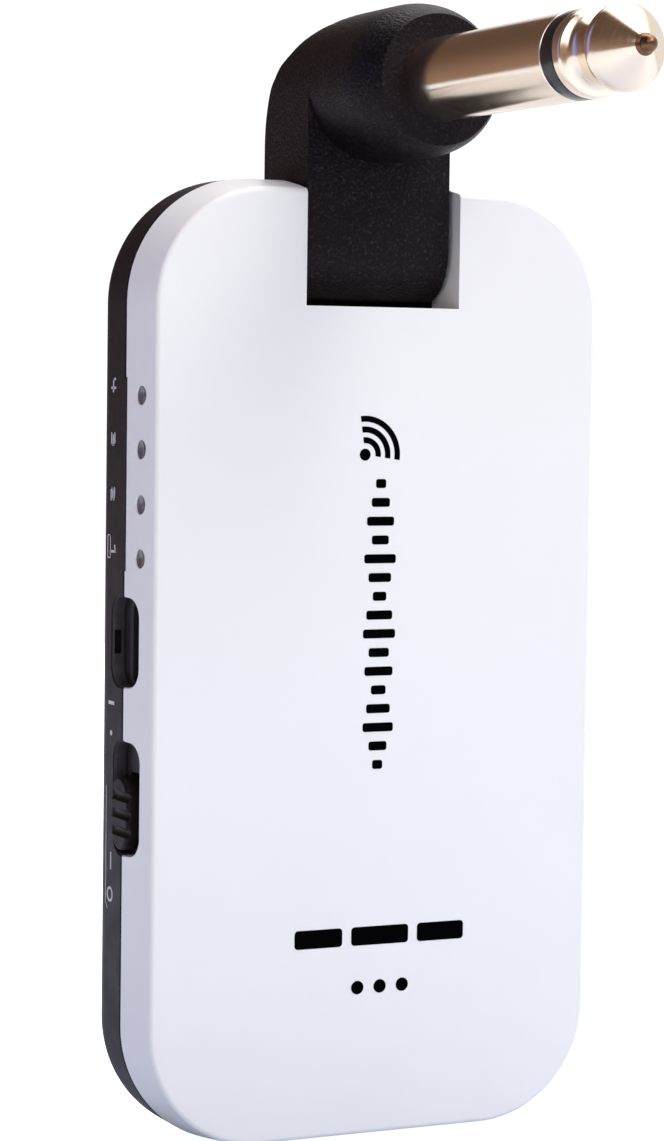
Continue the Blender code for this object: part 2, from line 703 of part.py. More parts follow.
def make_button(case_frame, button_frame):
    """Channel button with a flange inside the wall, pressing a tact switch's plunger."""
    centre = depth(BUTTON_DEPTH)
    level = height(BUTTON_HEIGHT)
    width, length = BUTTON_SIZE
    edge = BUTTON_OUT - 0.25
    rings = ((17.8, width, length), (edge, width, length), (BUTTON_OUT, width - 0.5, length - 0.5))
    mesh = bmesh.new()
    loops = []
    for x, w, h in rings:
        loops.append([mesh.verts.new((x, y, z)) for y, z in stadium(centre, level, w, h)])
    for low, high in zip(loops, loops[1:]):
        for i in range(len(low)):
            j = (i + 1) % len(low)
            mesh.faces.new((low[i], low[j], high[j], high[i]))
    mesh.faces.new(loops[0])
    mesh.faces.new(loops[-1])
    button = finish_mesh("channel_button", mesh)
    flange = prism("button_flange", stadium(centre, level, width + 1.1, length + 1.1), "X", 17.65, 18.1)
    combine(button, "UNION", flange)
    place(button, button_frame, "button_grey")
    plunger = rod("tact_plunger", 0.75, "X", (0, depth(5.2), level), 16.6, 17.55, 16)
    place(plunger, button_frame, "insulator")
    body = block("tact_switch", (13.2, 17.1), (depth(4.1), depth(6.2)), (level - 2.3, level + 2.3))
    combine(body, "DIFFERENCE", rod("tact_bore", 0.85, "X", (0, depth(5.2), level), 16.0, 18, 16))
    place(body, case_frame, "steel")


# ---------------------------------------------------------------- electronics


def make_board(frame):
    outline = [
        (-BOARD_HALF_WIDTH, BOARD_LOW), (BOARD_HALF_WIDTH, BOARD_LOW),
        (BOARD_HALF_WIDTH, BOARD_HIGH - 3), (BOARD_HALF_WIDTH - 3, BOARD_HIGH),
        (-BOARD_HALF_WIDTH + 3, BOARD_HIGH), (-BOARD_HALF_WIDTH, BOARD_HIGH - 3),
    ]
    outline = [(x, height(z)) for x, z in outline]
    board = prism("main_board", outline, "Y", depth(BOARD_FRONT), depth(BOARD_FRONT + BOARD_THICKNESS))
    for i, (x, z) in enumerate(BOARD_SCREWS):
        centre = (x, 0, height(z))
        combine(board, "DIFFERENCE", rod(f"board_hole_{i}", 1.1, "Y", centre, depth(5), depth(9), 16))
        profile = [(depth(3.2), 0), (depth(3.2), 0.6), (depth(7.15), 0.6), (depth(7.15), 1.5),
                   (depth(7.9), 1.3), (depth(7.9), 0)]
        screw = turned(f"board_screw_{i + 1}", profile, "Y", centre, 16)
        place(screw, frame, "steel")
    place(board, frame, "circuit_board")


def make_board_parts(frame):
    surface = depth(BOARD_FRONT - 0.1)
    shield = block("rf_shield", (-3, 9.5), (surface - 1.9, surface), (height(44.5), height(57.0)))
    room = block("shield_room", (-2.7, 9.2), (surface - 1.6, surface + 1), (height(44.8), height(56.7)))
    combine(shield, "DIFFERENCE", room)
    place(shield, frame, "steel")
    chips = (
        ("radio_chip", (0.5, 5.5), 0.9, (48.0, 53.0)),
        ("codec_chip", (2.0, 7.0), 0.9, (30.0, 35.0)),
        ("charger_chip", (-8.0, -5.0), 0.9, (38.5, 41.5)),
        ("chip_antenna", (-9.5, -2.5), 1.2, (59.0, 61.0)),
    )
    for name, x, tall, z in chips:
        chip = block(name, x, (surface - tall, surface), (height(z[0]), height(z[1])))
        place(chip, frame, "chip")
    for i, level in enumerate(LIGHT_HEIGHTS):
        lamp = block(
            f"status_lamp_{4 - i}", (-17.1, -15.9), (surface - 0.75, surface),
            (height(level - 0.8), height(level + 0.8)),
        )
        place(lamp, frame, "lamp")


def make_battery(frame):
    width, thick, tall = BATTERY
    behind_board = BOARD_FRONT + BOARD_THICKNESS
    front = behind_board + 0.45
    cell = block(
        "battery_cell", (-width / 2, width / 2), (depth(front), depth(front + thick)),
        (height(BATTERY_LOW), height(BATTERY_LOW + tall)),
    )
    bevel = cell.modifiers.new("soft_edges", "BEVEL")
    bevel.width = 0.6 * MM
    bevel.segments = 2
    place(cell, frame, "battery_foil")
    pad = block(
        "battery_pad", (-11, 11), (depth(behind_board + 0.1), depth(front - 0.1)),
        (height(BOARD_LOW + 2), height(BATTERY_LOW + tall - 4)),
    )
    place(pad, frame, "foam")


def make_board_cable(frame):
    points = (
        (10.3, HINGE_Y, HINGE_Z + 0.1), (11.6, HINGE_Y, HINGE_Z - 0.1), (13.1, HINGE_Y, HINGE_Z - 1.2),
        (13.9, HINGE_Y, HINGE_Z - 3.0), (13.9, HINGE_Y, height(66.0)), (13.3, HINGE_Y, height(63.0)),
        (11.8, HINGE_Y, height(61.4)), (10.2, HINGE_Y, height(60.2)),
    )
    place(tube_along("board_cable", points, 0.4), frame, "cable")


# ---------------------------------------------------------------- whole part


def main():
    clear_scene()
    arm = make_frame("plug_arm_frame", 0, 0, 0)
    case = make_frame("case_hinge_frame", 0, HINGE_Y, HINGE_Z)
    knob = make_frame("power_slide_frame", -KNOB_OUT, depth(COVER_DEPTH), height(KNOB_HEIGHT))
    button = make_frame("channel_press_frame", BUTTON_OUT, depth(BUTTON_DEPTH), height(BUTTON_HEIGHT))
    make_plug(arm)
    arm_half("arm_left_half", -1, arm)
    arm_half("arm_right_half", 1, arm)
    make_hinge_tube(arm)
    make_plug_cable(arm)
    make_front_cover(case)
    make_back_shell(case)
    make_hinge_bearings(case)
    make_case_screws(case)
    make_bezel(case)
    make_socket(case)
    make_switch(case, knob)
    make_light_guide(case)
    make_button(case, button)
    make_board(case)
    make_board_parts(case)
    make_battery(case)
    make_board_cable(case)


main()
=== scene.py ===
"""Looks of the folding quarter-inch plug transmitter: fine pieces, materials, light and camera.

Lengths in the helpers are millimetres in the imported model's own frame: X right, Y back, Z up, with
the origin on the plug's axis at its shoulder.
"""

import json
import math

import bmesh
import bpy
from mathutils import Matrix, Vector


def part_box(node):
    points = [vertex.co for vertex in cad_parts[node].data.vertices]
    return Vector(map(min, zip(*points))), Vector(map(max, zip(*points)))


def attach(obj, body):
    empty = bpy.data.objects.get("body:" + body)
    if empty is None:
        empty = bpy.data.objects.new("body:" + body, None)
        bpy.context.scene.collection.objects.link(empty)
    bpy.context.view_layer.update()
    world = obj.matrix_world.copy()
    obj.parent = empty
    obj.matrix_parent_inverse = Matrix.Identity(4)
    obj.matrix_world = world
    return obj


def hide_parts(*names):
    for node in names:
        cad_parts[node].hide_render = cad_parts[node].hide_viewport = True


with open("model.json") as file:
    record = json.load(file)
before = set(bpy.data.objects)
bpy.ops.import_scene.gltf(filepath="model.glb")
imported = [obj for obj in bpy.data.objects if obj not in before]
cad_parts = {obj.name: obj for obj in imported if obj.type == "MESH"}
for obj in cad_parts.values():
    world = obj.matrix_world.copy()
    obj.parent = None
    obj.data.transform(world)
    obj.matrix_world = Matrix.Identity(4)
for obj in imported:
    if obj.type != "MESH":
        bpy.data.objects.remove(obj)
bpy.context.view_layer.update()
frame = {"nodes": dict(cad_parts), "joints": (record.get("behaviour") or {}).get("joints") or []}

MM = 0.001


def box_mm(node):
    low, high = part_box(node)
    return low / MM, high / MM


COVER = box_mm("front_cover")
SHELL = box_mm("back_shell")
ARM = box_mm("arm_left_half")
TIP = box_mm("plug_tip")
KNOB = box_mm("power_knob")
BUTTON = box_mm("channel_button")
BEZEL = box_mm("side_bezel")
GUIDE = box_mm("light_guide")
HINGE = Vector(next(j["pos_m"] for j in frame["joints"] if j["type"] == "hinge")) / MM

FRONT = COVER[0].y
BACK = SHELL[1].y
BOTTOM = COVER[0].z
TOP = COVER[1].z
HALF_WIDTH = COVER[1].x
SEAM = FRONT + 4.8
SEAM_GAP = 0.1
CORNER = 10.0
TOP_SLOPE = 1.35
WALL = 1.6
NOTCH_HALF = 6.75
NOTCH_FLOOR = BOTTOM + 67.0
NOTCH_BACK = FRONT + 9.75
SOCKET_Z = BOTTOM + 40.4
SOCKET_SIZE = (5.0, 7.1)
SWITCH_Y = SEAM - 0.45
SWITCH_Z = BOTTOM + 28.07
SWITCH_SIZE = (4.7, 9.0)
OPENING_CORNER = 1.6
SOCKET_WINDOW = (BOTTOM + 39.3, BOTTOM + 41.2)
BUTTON_Y = (BUTTON[0].y + BUTTON[1].y) / 2
BUTTON_Z = (BUTTON[0].z + BUTTON[1].z) / 2
LIGHT_WINDOW = (BOTTOM + 46.0, BOTTOM + 61.2)
LIGHT_WINDOW_STEP = 0.28
LIGHTS = (59.8, 55.6, 51.3, 47.1)
LIGHT_Y = FRONT + 2.3
LENS_FACE = -19.68
LENS_RADIUS = 0.72
SCREW_X = 10.5
SCREW_Z = BOTTOM + 66.4
RECESS_CENTRE = BOTTOM + 67.0
RECESS_RADIUS = 17.4
RECESS_FLOOR = BACK - 0.7
RECESS_RIM = 2.9
ARM_HALF = -ARM[0].x
ARM_BARREL = 4.15
ARM_FRONT = HINGE.y - ARM_BARREL
ARM_BACK = ARM[1].y
ELBOW = 10.4
HEAD = 6.3
HEAD_TOP = ARM[1].z
HEAD_BOTTOM = 5.8
RIM = 5.05
PLUG = 3.175
RING_FROM = -21.0
RING_TO = -22.7
BULB = 3.08
NOSE = 0.62


# ---------------------------------------------------------------- mesh helpers


def new_object(name, mesh, smooth=35):
    bmesh.ops.remove_doubles(mesh, verts=mesh.verts, dist=1e-5)
    bmesh.ops.recalc_face_normals(mesh, faces=mesh.faces)
    bmesh.ops.scale(mesh, vec=(MM, MM, MM), verts=mesh.verts)
    data = bpy.data.meshes.new(name)
    mesh.to_mesh(data)
    mesh.free()
    data.shade_smooth()
    data.set_sharp_from_angle(angle=math.radians(smooth))
    thing = bpy.data.objects.new(name, data)
    bpy.context.scene.collection.objects.link(thing)
    return thing


def arc(centre, radius, start, end, steps):
    points = []
    for i in range(steps + 1):
        angle = math.radians(start + (end - start) * i / steps)
        points.append((centre[0] + radius * math.cos(angle), centre[1] + radius * math.sin(angle)))
    return points


def rounded_rectangle(half_width, low, high, radius, steps):
    points = []
    points += arc((half_width - radius, high - radius), radius, 0, 90, steps)
    points += arc((-half_width + radius, high - radius), radius, 90, 180, steps)
    points += arc((-half_width + radius, low + radius), radius, 180, 270, steps)
    points += arc((half_width - radius, low + radius), radius, 270, 360, steps)
    return points


def stadium(centre_y, centre_z, width, length, steps=20):
    radius = width / 2
    straight = length / 2 - radius
    top = arc((centre_y, centre_z + straight), radius, 0, 180, steps)
    bottom = arc((centre_y, centre_z - straight), radius, 180, 360, steps)
    return top + bottom


AXES = {
    "X": lambda a, b, along: (along, a, b),
    "Y": lambda a, b, along: (a, along, b),
    "Z": lambda a, b, along: (a, b, along),
}


def loft(name, rings, axis="Y", smooth=35):
    """Outlines of equal length, each (distance along the axis, points), bridged in order."""
    to_point = AXES[axis]
    mesh = bmesh.new()
    loops = [[mesh.verts.new(to_point(a, b, along)) for a, b in outline] for along, outline in rings]
    for front, back in zip(loops, loops[1:]):
        for i in range(len(front)):
            j = (i + 1) % len(front)
            mesh.faces.new((front[i], front[j], back[j], back[i]))
    mesh.faces.new(loops[0])
    mesh.faces.new(loops[-1])
    return new_object(name, mesh, smooth)


def prism(name, outline, axis, low, high):
    return loft(name, [(low, outline), (high, outline)], axis)


def block(name, x, y, z):
    outline = [(x[0], y[0]), (x[1], y[0]), (x[1], y[1]), (x[0], y[1])]
    return prism(name, outline, "Z", z[0], z[1])


def turned(name, profile, axis, centre, steps=96, smooth=35):
    """A profile of (distance along the axis, radius), turned; closed as a ring if off the axis."""
    to_point = AXES[axis]
    middle = Vector(centre)
    mesh = bmesh.new()
    rings = []
    for along, radius in profile:
        if radius == 0:
            rings.append([mesh.verts.new(middle + Vector(to_point(0, 0, along)))] * steps)
            continue
        circle = arc((0, 0), radius, 0, 360, steps)[:-1]
        rings.append([mesh.verts.new(middle + Vector(to_point(a, b, along))) for a, b in circle])
    pairs = list(zip(rings, rings[1:]))
    if profile[0][1] > 0:
        pairs.append((rings[-1], rings[0]))
    for first, second in pairs:
        for i in range(steps):
            j = (i + 1) % steps
            corners = list(dict.fromkeys((first[i], first[j], second[j], second[i])))
            if len(corners) > 2:
                mesh.faces.new(corners)
    return new_object(name, mesh, smooth)


def rod(name, radius, axis, centre, low, high, steps=48):
    return turned(name, [(low, 0), (low, radius), (high, radius), (high, 0)], axis, centre, steps)


def opening(centre_y, centre_z, width, length, corner, steps=8):
    """Rounded rectangle in Y and Z."""
    low, high = centre_z - length / 2, centre_z + length / 2
    corners = rounded_rectangle(width / 2, low, high, corner, steps)
    return [(centre_y + y, z) for y, z in corners]


def flared(name, outline_at, axis, mouth, floor, flare, beyond):
    """A cutter whose mouth opens by a small round over the given flare, for a soft rim."""
    sign = 1 if floor > mouth else -1
    rings = [(mouth - sign * beyond, outline_at(flare))]
    for i in range(5):
        angle = math.pi / 2 * i / 4
        rings.append((mouth + sign * flare * math.sin(angle), outline_at(flare * (1 - math.sin(angle)))))
    rings.append((floor, outline_at(0)))
    return loft(name, rings, axis)


def bake(thing):
    """Replaces an object's mesh by the result of its modifiers."""
    graph = bpy.context.evaluated_depsgraph_get()
    data = bpy.data.meshes.new_from_object(thing.evaluated_get(graph))
    thing.modifiers.clear()
    old = thing.data
    thing.data = data
    bpy.data.meshes.remove(old)
    return thing


def combine(thing, operation, *others):
    """Applies Booleans straight away and removes the helpers."""
    for other in others:
        modifier = thing.modifiers.new(other.name, "BOOLEAN")
        modifier.operation = operation
        modifier.object = other
        modifier.solver = "EXACT"
    bake(thing)
    for other in others:
        bpy.data.objects.remove(other, do_unlink=True)
    return thing


def soften(thing, width, segments=2, angle=40):
    """Small rounds on the sharp edges, with flat faces kept flat."""
    mesh = bmesh.new()
    mesh.from_mesh(thing.data)
    bmesh.ops.remove_doubles(mesh, verts=mesh.verts, dist=2e-6)
    bmesh.ops.dissolve_degenerate(mesh, edges=mesh.edges, dist=2e-6)
    mesh.to_mesh(thing.data)
    mesh.free()
    bevel = thing.modifiers.new("soft_edges", "BEVEL")
    bevel.width = width * MM
    bevel.segments = segments
    bevel.limit_method = "ANGLE"
    bevel.angle_limit = math.radians(angle)
    bevel.miter_outer = "MITER_ARC"
    bake(thing)
    return weigh(thing)


def weigh(thing, angle=35):
    thing.data.shade_smooth()
    thing.data.set_sharp_from_angle(angle=math.radians(angle))
    weighted = thing.modifiers.new("flat_faces", "WEIGHTED_NORMAL")
    weighted.keep_sharp = True
    weighted.weight = 90
    return thing


def put(thing, body, slot, material, *nodes):
    """Gives a finished piece its material and its body, and hides the nodes it stands for. The slot is not
    used.
    """
    if not thing.data.materials:
        thing.data.materials.append(material)
    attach(thing, body)
    if nodes:
        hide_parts(*nodes)
    return thing


# ---------------------------------------------------------------- materials


class Shader:
    """A Principled material with short calls for the procedural parts."""

    def __init__(self, name, color, roughness, metallic=0.0):
        self.material = bpy.data.materials.new(name)
        self.material.use_nodes = True
        self.nodes = self.material.node_tree.nodes
        self.links = self.material.node_tree.links
        self.shader = self.nodes["Principled BSDF"]
        self.material.diffuse_color = (*color, 1.0)
        self.set("Base Color", (*color, 1.0))
        self.set("Roughness", roughness)
        self.set("Metallic", metallic)
        self.place = self.nodes.new("ShaderNodeTexCoord").outputs["Object"]

    def set(self, socket, value):
        self.shader.inputs[socket].default_value = value
        return self

    def noise(self, scale, detail=4.0, stretch=(1, 1, 1), roughness=0.55):
        mapping = self.nodes.new("ShaderNodeMapping")
        mapping.inputs["Scale"].default_value = stretch
        self.links.new(self.place, mapping.inputs["Vector"])
        texture = self.nodes.new("ShaderNodeTexNoise")
        texture.inputs["Scale"].default_value = scale
        texture.inputs["Detail"].default_value = detail
        texture.inputs["Roughness"].default_value = roughness
        self.links.new(mapping.outputs["Vector"], texture.inputs["Vector"])
        return texture.outputs["Fac"]

    def cells(self, scale, feature="F1"):
        texture = self.nodes.new("ShaderNodeTexVoronoi")
        texture.feature = feature
        texture.inputs["Scale"].default_value = scale
        self.links.new(self.place, texture.inputs["Vector"])
        return texture.outputs["Distance"]

    def around(self, radius):
        """One above the origin, falling to nothing at the radius."""
        mapping = self.nodes.new("ShaderNodeMapping")
        mapping.inputs["Scale"].default_value = (1 / radius, 1 / radius, 0)
        self.links.new(self.place, mapping.inputs["Vector"])
        texture = self.nodes.new("ShaderNodeTexGradient")
        texture.gradient_type = "SPHERICAL"
        self.links.new(mapping.outputs["Vector"], texture.inputs["Vector"])
        return texture.outputs["Fac"]

    def spread(self, value, low, high, start=0.3, end=0.7):
        ramp = self.nodes.new("ShaderNodeMapRange")
        ramp.inputs["From Min"].default_value = start
        ramp.inputs["From Max"].default_value = end
        ramp.inputs["To Min"].default_value = low
        ramp.inputs["To Max"].default_value = high
        self.links.new(value, ramp.inputs["Value"])
        return ramp.outputs["Result"]

    def ramp(self, value, *stops):
        node = self.nodes.new("ShaderNodeValToRGB")
        elements = node.color_ramp.elements
        while len(elements) < len(stops):
            elements.new(0.5)
        for element, (at, color) in zip(elements, stops):
            element.position = at
            element.color = (*color, 1.0)
        self.links.new(value, node.inputs["Fac"])
        return node.outputs["Color"]

    def drive(self, socket, value):
        self.links.new(value, self.shader.inputs[socket])
        return self

    def bump(self, *layers):
        """Layers of (value, strength, distance in mm), each added on the one before."""
        normal = None
        for value, strength, distance in layers:
            node = self.nodes.new("ShaderNodeBump")
            node.inputs["Strength"].default_value = strength
            node.inputs["Distance"].default_value = distance * MM
            self.links.new(value, node.inputs["Height"])
            if normal:
                self.links.new(normal, node.inputs["Normal"])
            normal = node.outputs["Normal"]
        self.links.new(normal, self.shader.inputs["Normal"])
        return self


def moulded(name, color, roughness, grain, strength, tone=0.06, depth=0.02):
    """Injection-moulded plastic: a fine eroded grain, and slow changes of tone and gloss."""
    made = Shader(name, color, roughness)
    slow = made.noise(90, 3)
    dark = tuple(c * (1 - tone) for c in color)
    light = tuple(min(c * (1 + tone), 1) for c in color)
    made.drive("Base Color", made.ramp(slow, (0.3, dark), (0.7, light)))
    made.drive("Roughness", made.spread(made.noise(400, 4), roughness - 0.05, roughness + 0.05))
    made.bump((made.noise(grain, 3), strength, depth), (made.noise(260, 2), 0.08, 0.02))
    return made


def make_materials():
    kit = {}
    kit["white"] = moulded("satin_white", (0.860, 0.855, 0.858), 0.34, 9000, 0.10, 0.008, 0.004)
    kit["white"].set("Coat Weight", 0.12).set("Coat Roughness", 0.22)
    kit["black"] = moulded("satin_black", (0.0075, 0.0050, 0.0072), 0.46, 8000, 0.35, 0.10, 0.008)
    kit["black"].set("Specular IOR Level", 0.185).set("Specular Tint", (1.0, 0.80, 0.97, 1.0))
    kit["arm"] = moulded("grained_black", (0.0066, 0.0043, 0.0056), 0.40, 4400, 0.9, 0.14, 0.12)
    speckle = (
        (0.42, (0.0024, 0.0014, 0.0019)),
        (0.57, (0.0046, 0.0029, 0.0037)),
        (0.74, (0.034, 0.024, 0.030)),
    )
    kit["arm"].drive("Base Color", kit["arm"].ramp(kit["arm"].noise(4200, 2), *speckle))
    kit["arm"].set("Specular IOR Level", 0.16).set("Specular Tint", (1.0, 0.80, 0.92, 1.0))
    kit["recess"] = moulded("leather_grain_black", (0.014, 0.011, 0.014), 0.50, 2600, 0.8, 0.15, 0.05)
    kit["deep"] = moulded("dark_inner_black", (0.012, 0.010, 0.012), 0.50, 8000, 0.3, 0.10, 0.008)
    kit["knob"] = moulded("knob_black", (0.008, 0.0055, 0.0065), 0.48, 7000, 0.35, 0.10, 0.008)
    kit["knob"].set("Specular IOR Level", 0.15).set("Specular Tint", (1.0, 0.84, 0.88, 1.0))
    kit["button"] = moulded("button_grey", (0.12, 0.105, 0.118), 0.42, 7000, 0.30, 0.08, 0.008)
    kit["lining"] = moulded("grained_lining", (0.034, 0.026, 0.033), 0.50, 5200, 0.6, 0.14, 0.02)
    kit["gold"] = gold()
    # Dark brown brass on the nose's ball: a painted dark reflection of the room on the camera side.
    kit["nose"] = brushed("brass_painted_dark_reflection", (0.20, 0.105, 0.055), 0.30)
    kit["ring"] = moulded("gloss_insulator", (0.012, 0.010, 0.011), 0.22, 6000, 0.12, 0.10, 0.004)
    kit["steel"] = brushed("plated_steel", (0.62, 0.62, 0.64), 0.30)
    kit["screw"] = brushed("blackened_screw", (0.10, 0.10, 0.11), 0.34)
    kit["nylon"] = moulded("natural_nylon", (0.72, 0.70, 0.65), 0.5, 5000, 0.3, 0.04, 0.01)
    kit["lens"] = lens()
    kit["print_black"] = moulded("printed_black", (0.0015, 0.0015, 0.002), 0.55, 12000, 0.15, 0.1, 0.003)
    kit["print_black"].set("Specular IOR Level", 0.0)
    kit["print_white"] = moulded("printed_white", (0.62, 0.60, 0.64), 0.55, 12000, 0.15, 0.05, 0.003)
    kit["board"] = board()
    kit["chip"] = moulded("chip_mould", (0.022, 0.022, 0.024), 0.5, 6000, 0.5, 0.1, 0.01)
    kit["lamp"] = moulded("lamp_phosphor", (0.80, 0.76, 0.52), 0.35, 6000, 0.2, 0.05, 0.01)
    kit["foil"] = foil()
    kit["foam"] = foam()
    kit["cable"] = moulded("cable_jacket", (0.03, 0.03, 0.032), 0.5, 3000, 0.3, 0.1, 0.01)
    return kit


def gold():
    """Turned and plated brass: rings from the lathe, a little tarnish, fine handling marks."""
    made = Shader("turned_gold", (0.94, 0.80, 0.63), 0.16, 1.0)
    slow = made.noise(220, 4)
    made.drive("Base Color", made.ramp(slow, (0.25, (0.92, 0.775, 0.60)), (0.75, (0.96, 0.825, 0.66))))
    made.drive("Roughness", made.spread(made.noise(900, 5, (1, 6, 1)), 0.12, 0.20))
    rings = made.noise(2200, 2, (0.02, 4, 0.02))
    marks = made.noise(1500, 6, (3, 0.4, 3), 0.7)
    return made.bump((rings, 0.04, 0.004), (marks, 0.05, 0.004))


def brushed(name, color, roughness):
    made = Shader(name, color, roughness, 1.0)
    made.drive("Roughness", made.spread(made.noise(800, 4, (1, 5, 1)), roughness - 0.08, roughness + 0.1))
    dark = tuple(c * 0.85 for c in color)
    made.drive("Base Color", made.ramp(made.noise(300, 4), (0.3, dark), (0.7, color)))
    return made.bump((made.noise(2500, 3, (1, 8, 1)), 0.2, 0.006))


def lens():
    """Smoke-grey light guide ends."""
    made = Shader("smoked_lens", (0.13, 0.11, 0.13), 0.25)
    made.set("Coat Weight", 0.3).set("Coat Roughness", 0.1).set("IOR", 1.49)
    dark, light = (0.088, 0.072, 0.084), (0.120, 0.103, 0.116)
    made.drive("Base Color", made.ramp(made.noise(500, 2), (0.3, dark), (0.7, light)))
    made.drive("Roughness", made.spread(made.noise(1500, 3), 0.20, 0.32))
    return made.bump((made.noise(2500, 2), 0.1, 0.004))


def board():
    """Green solder mask with faint copper tracks under it."""
    made = Shader("solder_mask", (0.02, 0.12, 0.06), 0.35)
    tracks = made.cells(420, "DISTANCE_TO_EDGE")
    made.drive("Base Color", made.ramp(tracks, (0.02, (0.05, 0.22, 0.10)), (0.08, (0.015, 0.10, 0.05))))
    made.drive("Roughness", made.spread(made.noise(900, 3), 0.28, 0.42))
    return made.bump((tracks, 0.3, 0.02))


def foil():
    made = Shader("battery_foil", (0.66, 0.67, 0.70), 0.28, 0.9)
    wrinkle = made.noise(240, 5, (1, 1, 0.6))
    made.drive("Base Color", made.ramp(wrinkle, (0.3, (0.58, 0.59, 0.62)), (0.7, (0.72, 0.73, 0.76))))
    made.drive("Roughness", made.spread(made.noise(700, 3), 0.22, 0.36))
    return made.bump((wrinkle, 0.5, 0.08))


def foam():
    made = Shader("foam_tape", (0.04, 0.04, 0.042), 0.9)
    pores = made.cells(3200)
    made.drive("Base Color", made.ramp(pores, (0.1, (0.02, 0.02, 0.02)), (0.6, (0.06, 0.06, 0.062))))
    made.drive("Roughness", made.spread(made.noise(900, 3), 0.85, 0.95))
    return made.bump((pores, 0.7, 0.06))


# ---------------------------------------------------------------- case


def outline(inset, slope=1.0, steps=32):
    high = TOP - inset * slope
    return rounded_rectangle(HALF_WIDTH - inset, BOTTOM + inset, high, CORNER - inset, steps)


def cavity(name, low, high, keep_low, keep_high):
    """The room inside the case, less the solid cheeks and floor round the notch."""
    room = loft(name, [(low, outline(WALL)), (high, outline(WALL))])
    half = NOTCH_HALF + 2.5
    keep = block(name + "_keep", (-half, half), (keep_low, keep_high), (NOTCH_FLOOR - 1.2, TOP + 3))
    return combine(room, "DIFFERENCE", keep)


def grown(size, grow):
    return size[0] + 2 * grow, size[1] + 2 * grow


def wall_cutters(prefix):
    """Openings that both halves share: socket and switch recesses, button and the hinge's bores."""

    def socket(grow):
        return opening(SEAM, SOCKET_Z, *grown(SOCKET_SIZE, grow), OPENING_CORNER + grow)

    def switch(grow):
        return opening(SWITCH_Y, SWITCH_Z, *grown(SWITCH_SIZE, grow), OPENING_CORNER + grow)

    def button(grow):
        return stadium(BUTTON_Y, BUTTON_Z, *grown((3.4, 8.8), grow))

    pocket_y, pocket_z = (FRONT + 1.5, FRONT + 8.1), (BOTTOM + 22.3, BOTTOM + 45.2)
    return [
        flared(prefix + "_socket", socket, "X", -20.0, -17.0, 0.12, 1.5),
        flared(prefix + "_switch", switch, "X", -20.0, -17.0, 0.12, 1.5),
        flared(prefix + "_button", button, "X", 20.0, 17.0, 0.1, 1.5),
        block(prefix + "_window", (-19.78, -19.22), (FRONT + 7.0, FRONT + 7.7), SOCKET_WINDOW),
        block(prefix + "_pocket", (-19.0, -16.0), pocket_y, pocket_z),
        rod(prefix + "_bush", 2.6, "X", (0, HINGE.y, HINGE.z), -12, 12),
    ]


def cover_rings():
    """Soft round at the front edge, then a slight draft out to the seam."""
    rings = []
    radius = 0.40
    draft = 0.58
    for i in range(8):
        angle = math.pi / 2 * i / 7
        inset = draft + radius * (1 - math.sin(angle))
        rings.append((FRONT + radius * (1 - math.cos(angle)), outline(inset, TOP_SLOPE)))
    for share in (0.2, 0.4, 0.6, 0.8):
        inset = draft * (1 - share) ** 1.2
        rings.append((FRONT + radius + (SEAM - FRONT - radius) * share, outline(inset, TOP_SLOPE)))
    rings.append((SEAM - 0.1, outline(0.0)))
    rings.append((SEAM, outline(0.07)))
    return rings


def make_cover(kit):
    cover = loft("white_front_cover", cover_rings())
    half = NOTCH_HALF
    notch = block("notch", (-half, half), (FRONT - 2, SEAM + 2), (NOTCH_FLOOR, TOP + 3))
    window = block("window", (-22, -18.5), (SEAM - LIGHT_WINDOW_STEP, SEAM + 1), LIGHT_WINDOW)
    room = cavity("cover_room", FRONT + 1.2, SEAM + 2, FRONT, SEAM + 3)
    combine(cover, "DIFFERENCE", room, notch, window, *wall_cutters("cover"))
    flare = [(-21.5, 0), (-21.5, 0.95), (-19.90, 0.95), (-19.84, 0.84), (-19.76, 0.78), (-19.60, 0.75)]
    hole = flare + [(-18, 0.75), (-18, 0)]
    holes = []
    for i, level in enumerate(LIGHTS):
        holes.append(turned(f"light_hole_{i}", hole, "X", (0, LIGHT_Y, BOTTOM + level), 40))
    combine(cover, "DIFFERENCE", *holes)
    soften(cover, 0.09, 2, 50)
    put(cover, "case", "white_shell", kit["white"].material, "front_cover")


def shell_rings():
    start = 8.2
    seam = SEAM + SEAM_GAP
    rings = [(seam, outline(0.14)), (seam + 0.05, outline(0.05)), (seam + 0.16, outline(0.0)),
             (FRONT + start, outline(0.0))]
    radius = BACK - FRONT - start
    for i in range(1, 13):
        angle = math.pi / 2 * i / 12
        rings.append((FRONT + start + radius * math.sin(angle), outline(radius * (1 - math.cos(angle)))))
    return rings


def recess_cutter(grow=0.0):
    """The round recess, cut short at the top by a rim that follows the case's outline."""
    rim_inset = RECESS_RIM - grow
    circle = arc((0, RECESS_CENTRE), RECESS_RADIUS + grow, 0, 360, 144)[:-1]
    limit = rounded_rectangle(HALF_WIDTH - rim_inset, BOTTOM, TOP - rim_inset, CORNER - rim_inset, 24)
    return [clip_to(x, z, limit) for x, z in circle]


def clip_to(x, z, limit):
    """The point pulled towards the recess's centre until it is inside the outline."""
    cx, cz = 0.0, BOTTOM + 60.0
    low, high = 0.0, 1.0
    if inside(x, z, limit):
        return (x, z)
    for _ in range(30):
        mid = (low + high) / 2
        if inside(cx + (x - cx) * mid, cz + (z - cz) * mid, limit):
            low = mid
        else:
            high = mid
    return (cx + (x - cx) * low, cz + (z - cz) * low)


def inside(x, z, outline_points):
    found = False
    count = len(outline_points)
    for i in range(count):
        ax, az = outline_points[i]
        bx, bz = outline_points[(i + 1) % count]
        if (az > z) != (bz > z) and x < (bx - ax) * (z - az) / (bz - az) + ax:
            found = not found
    return found


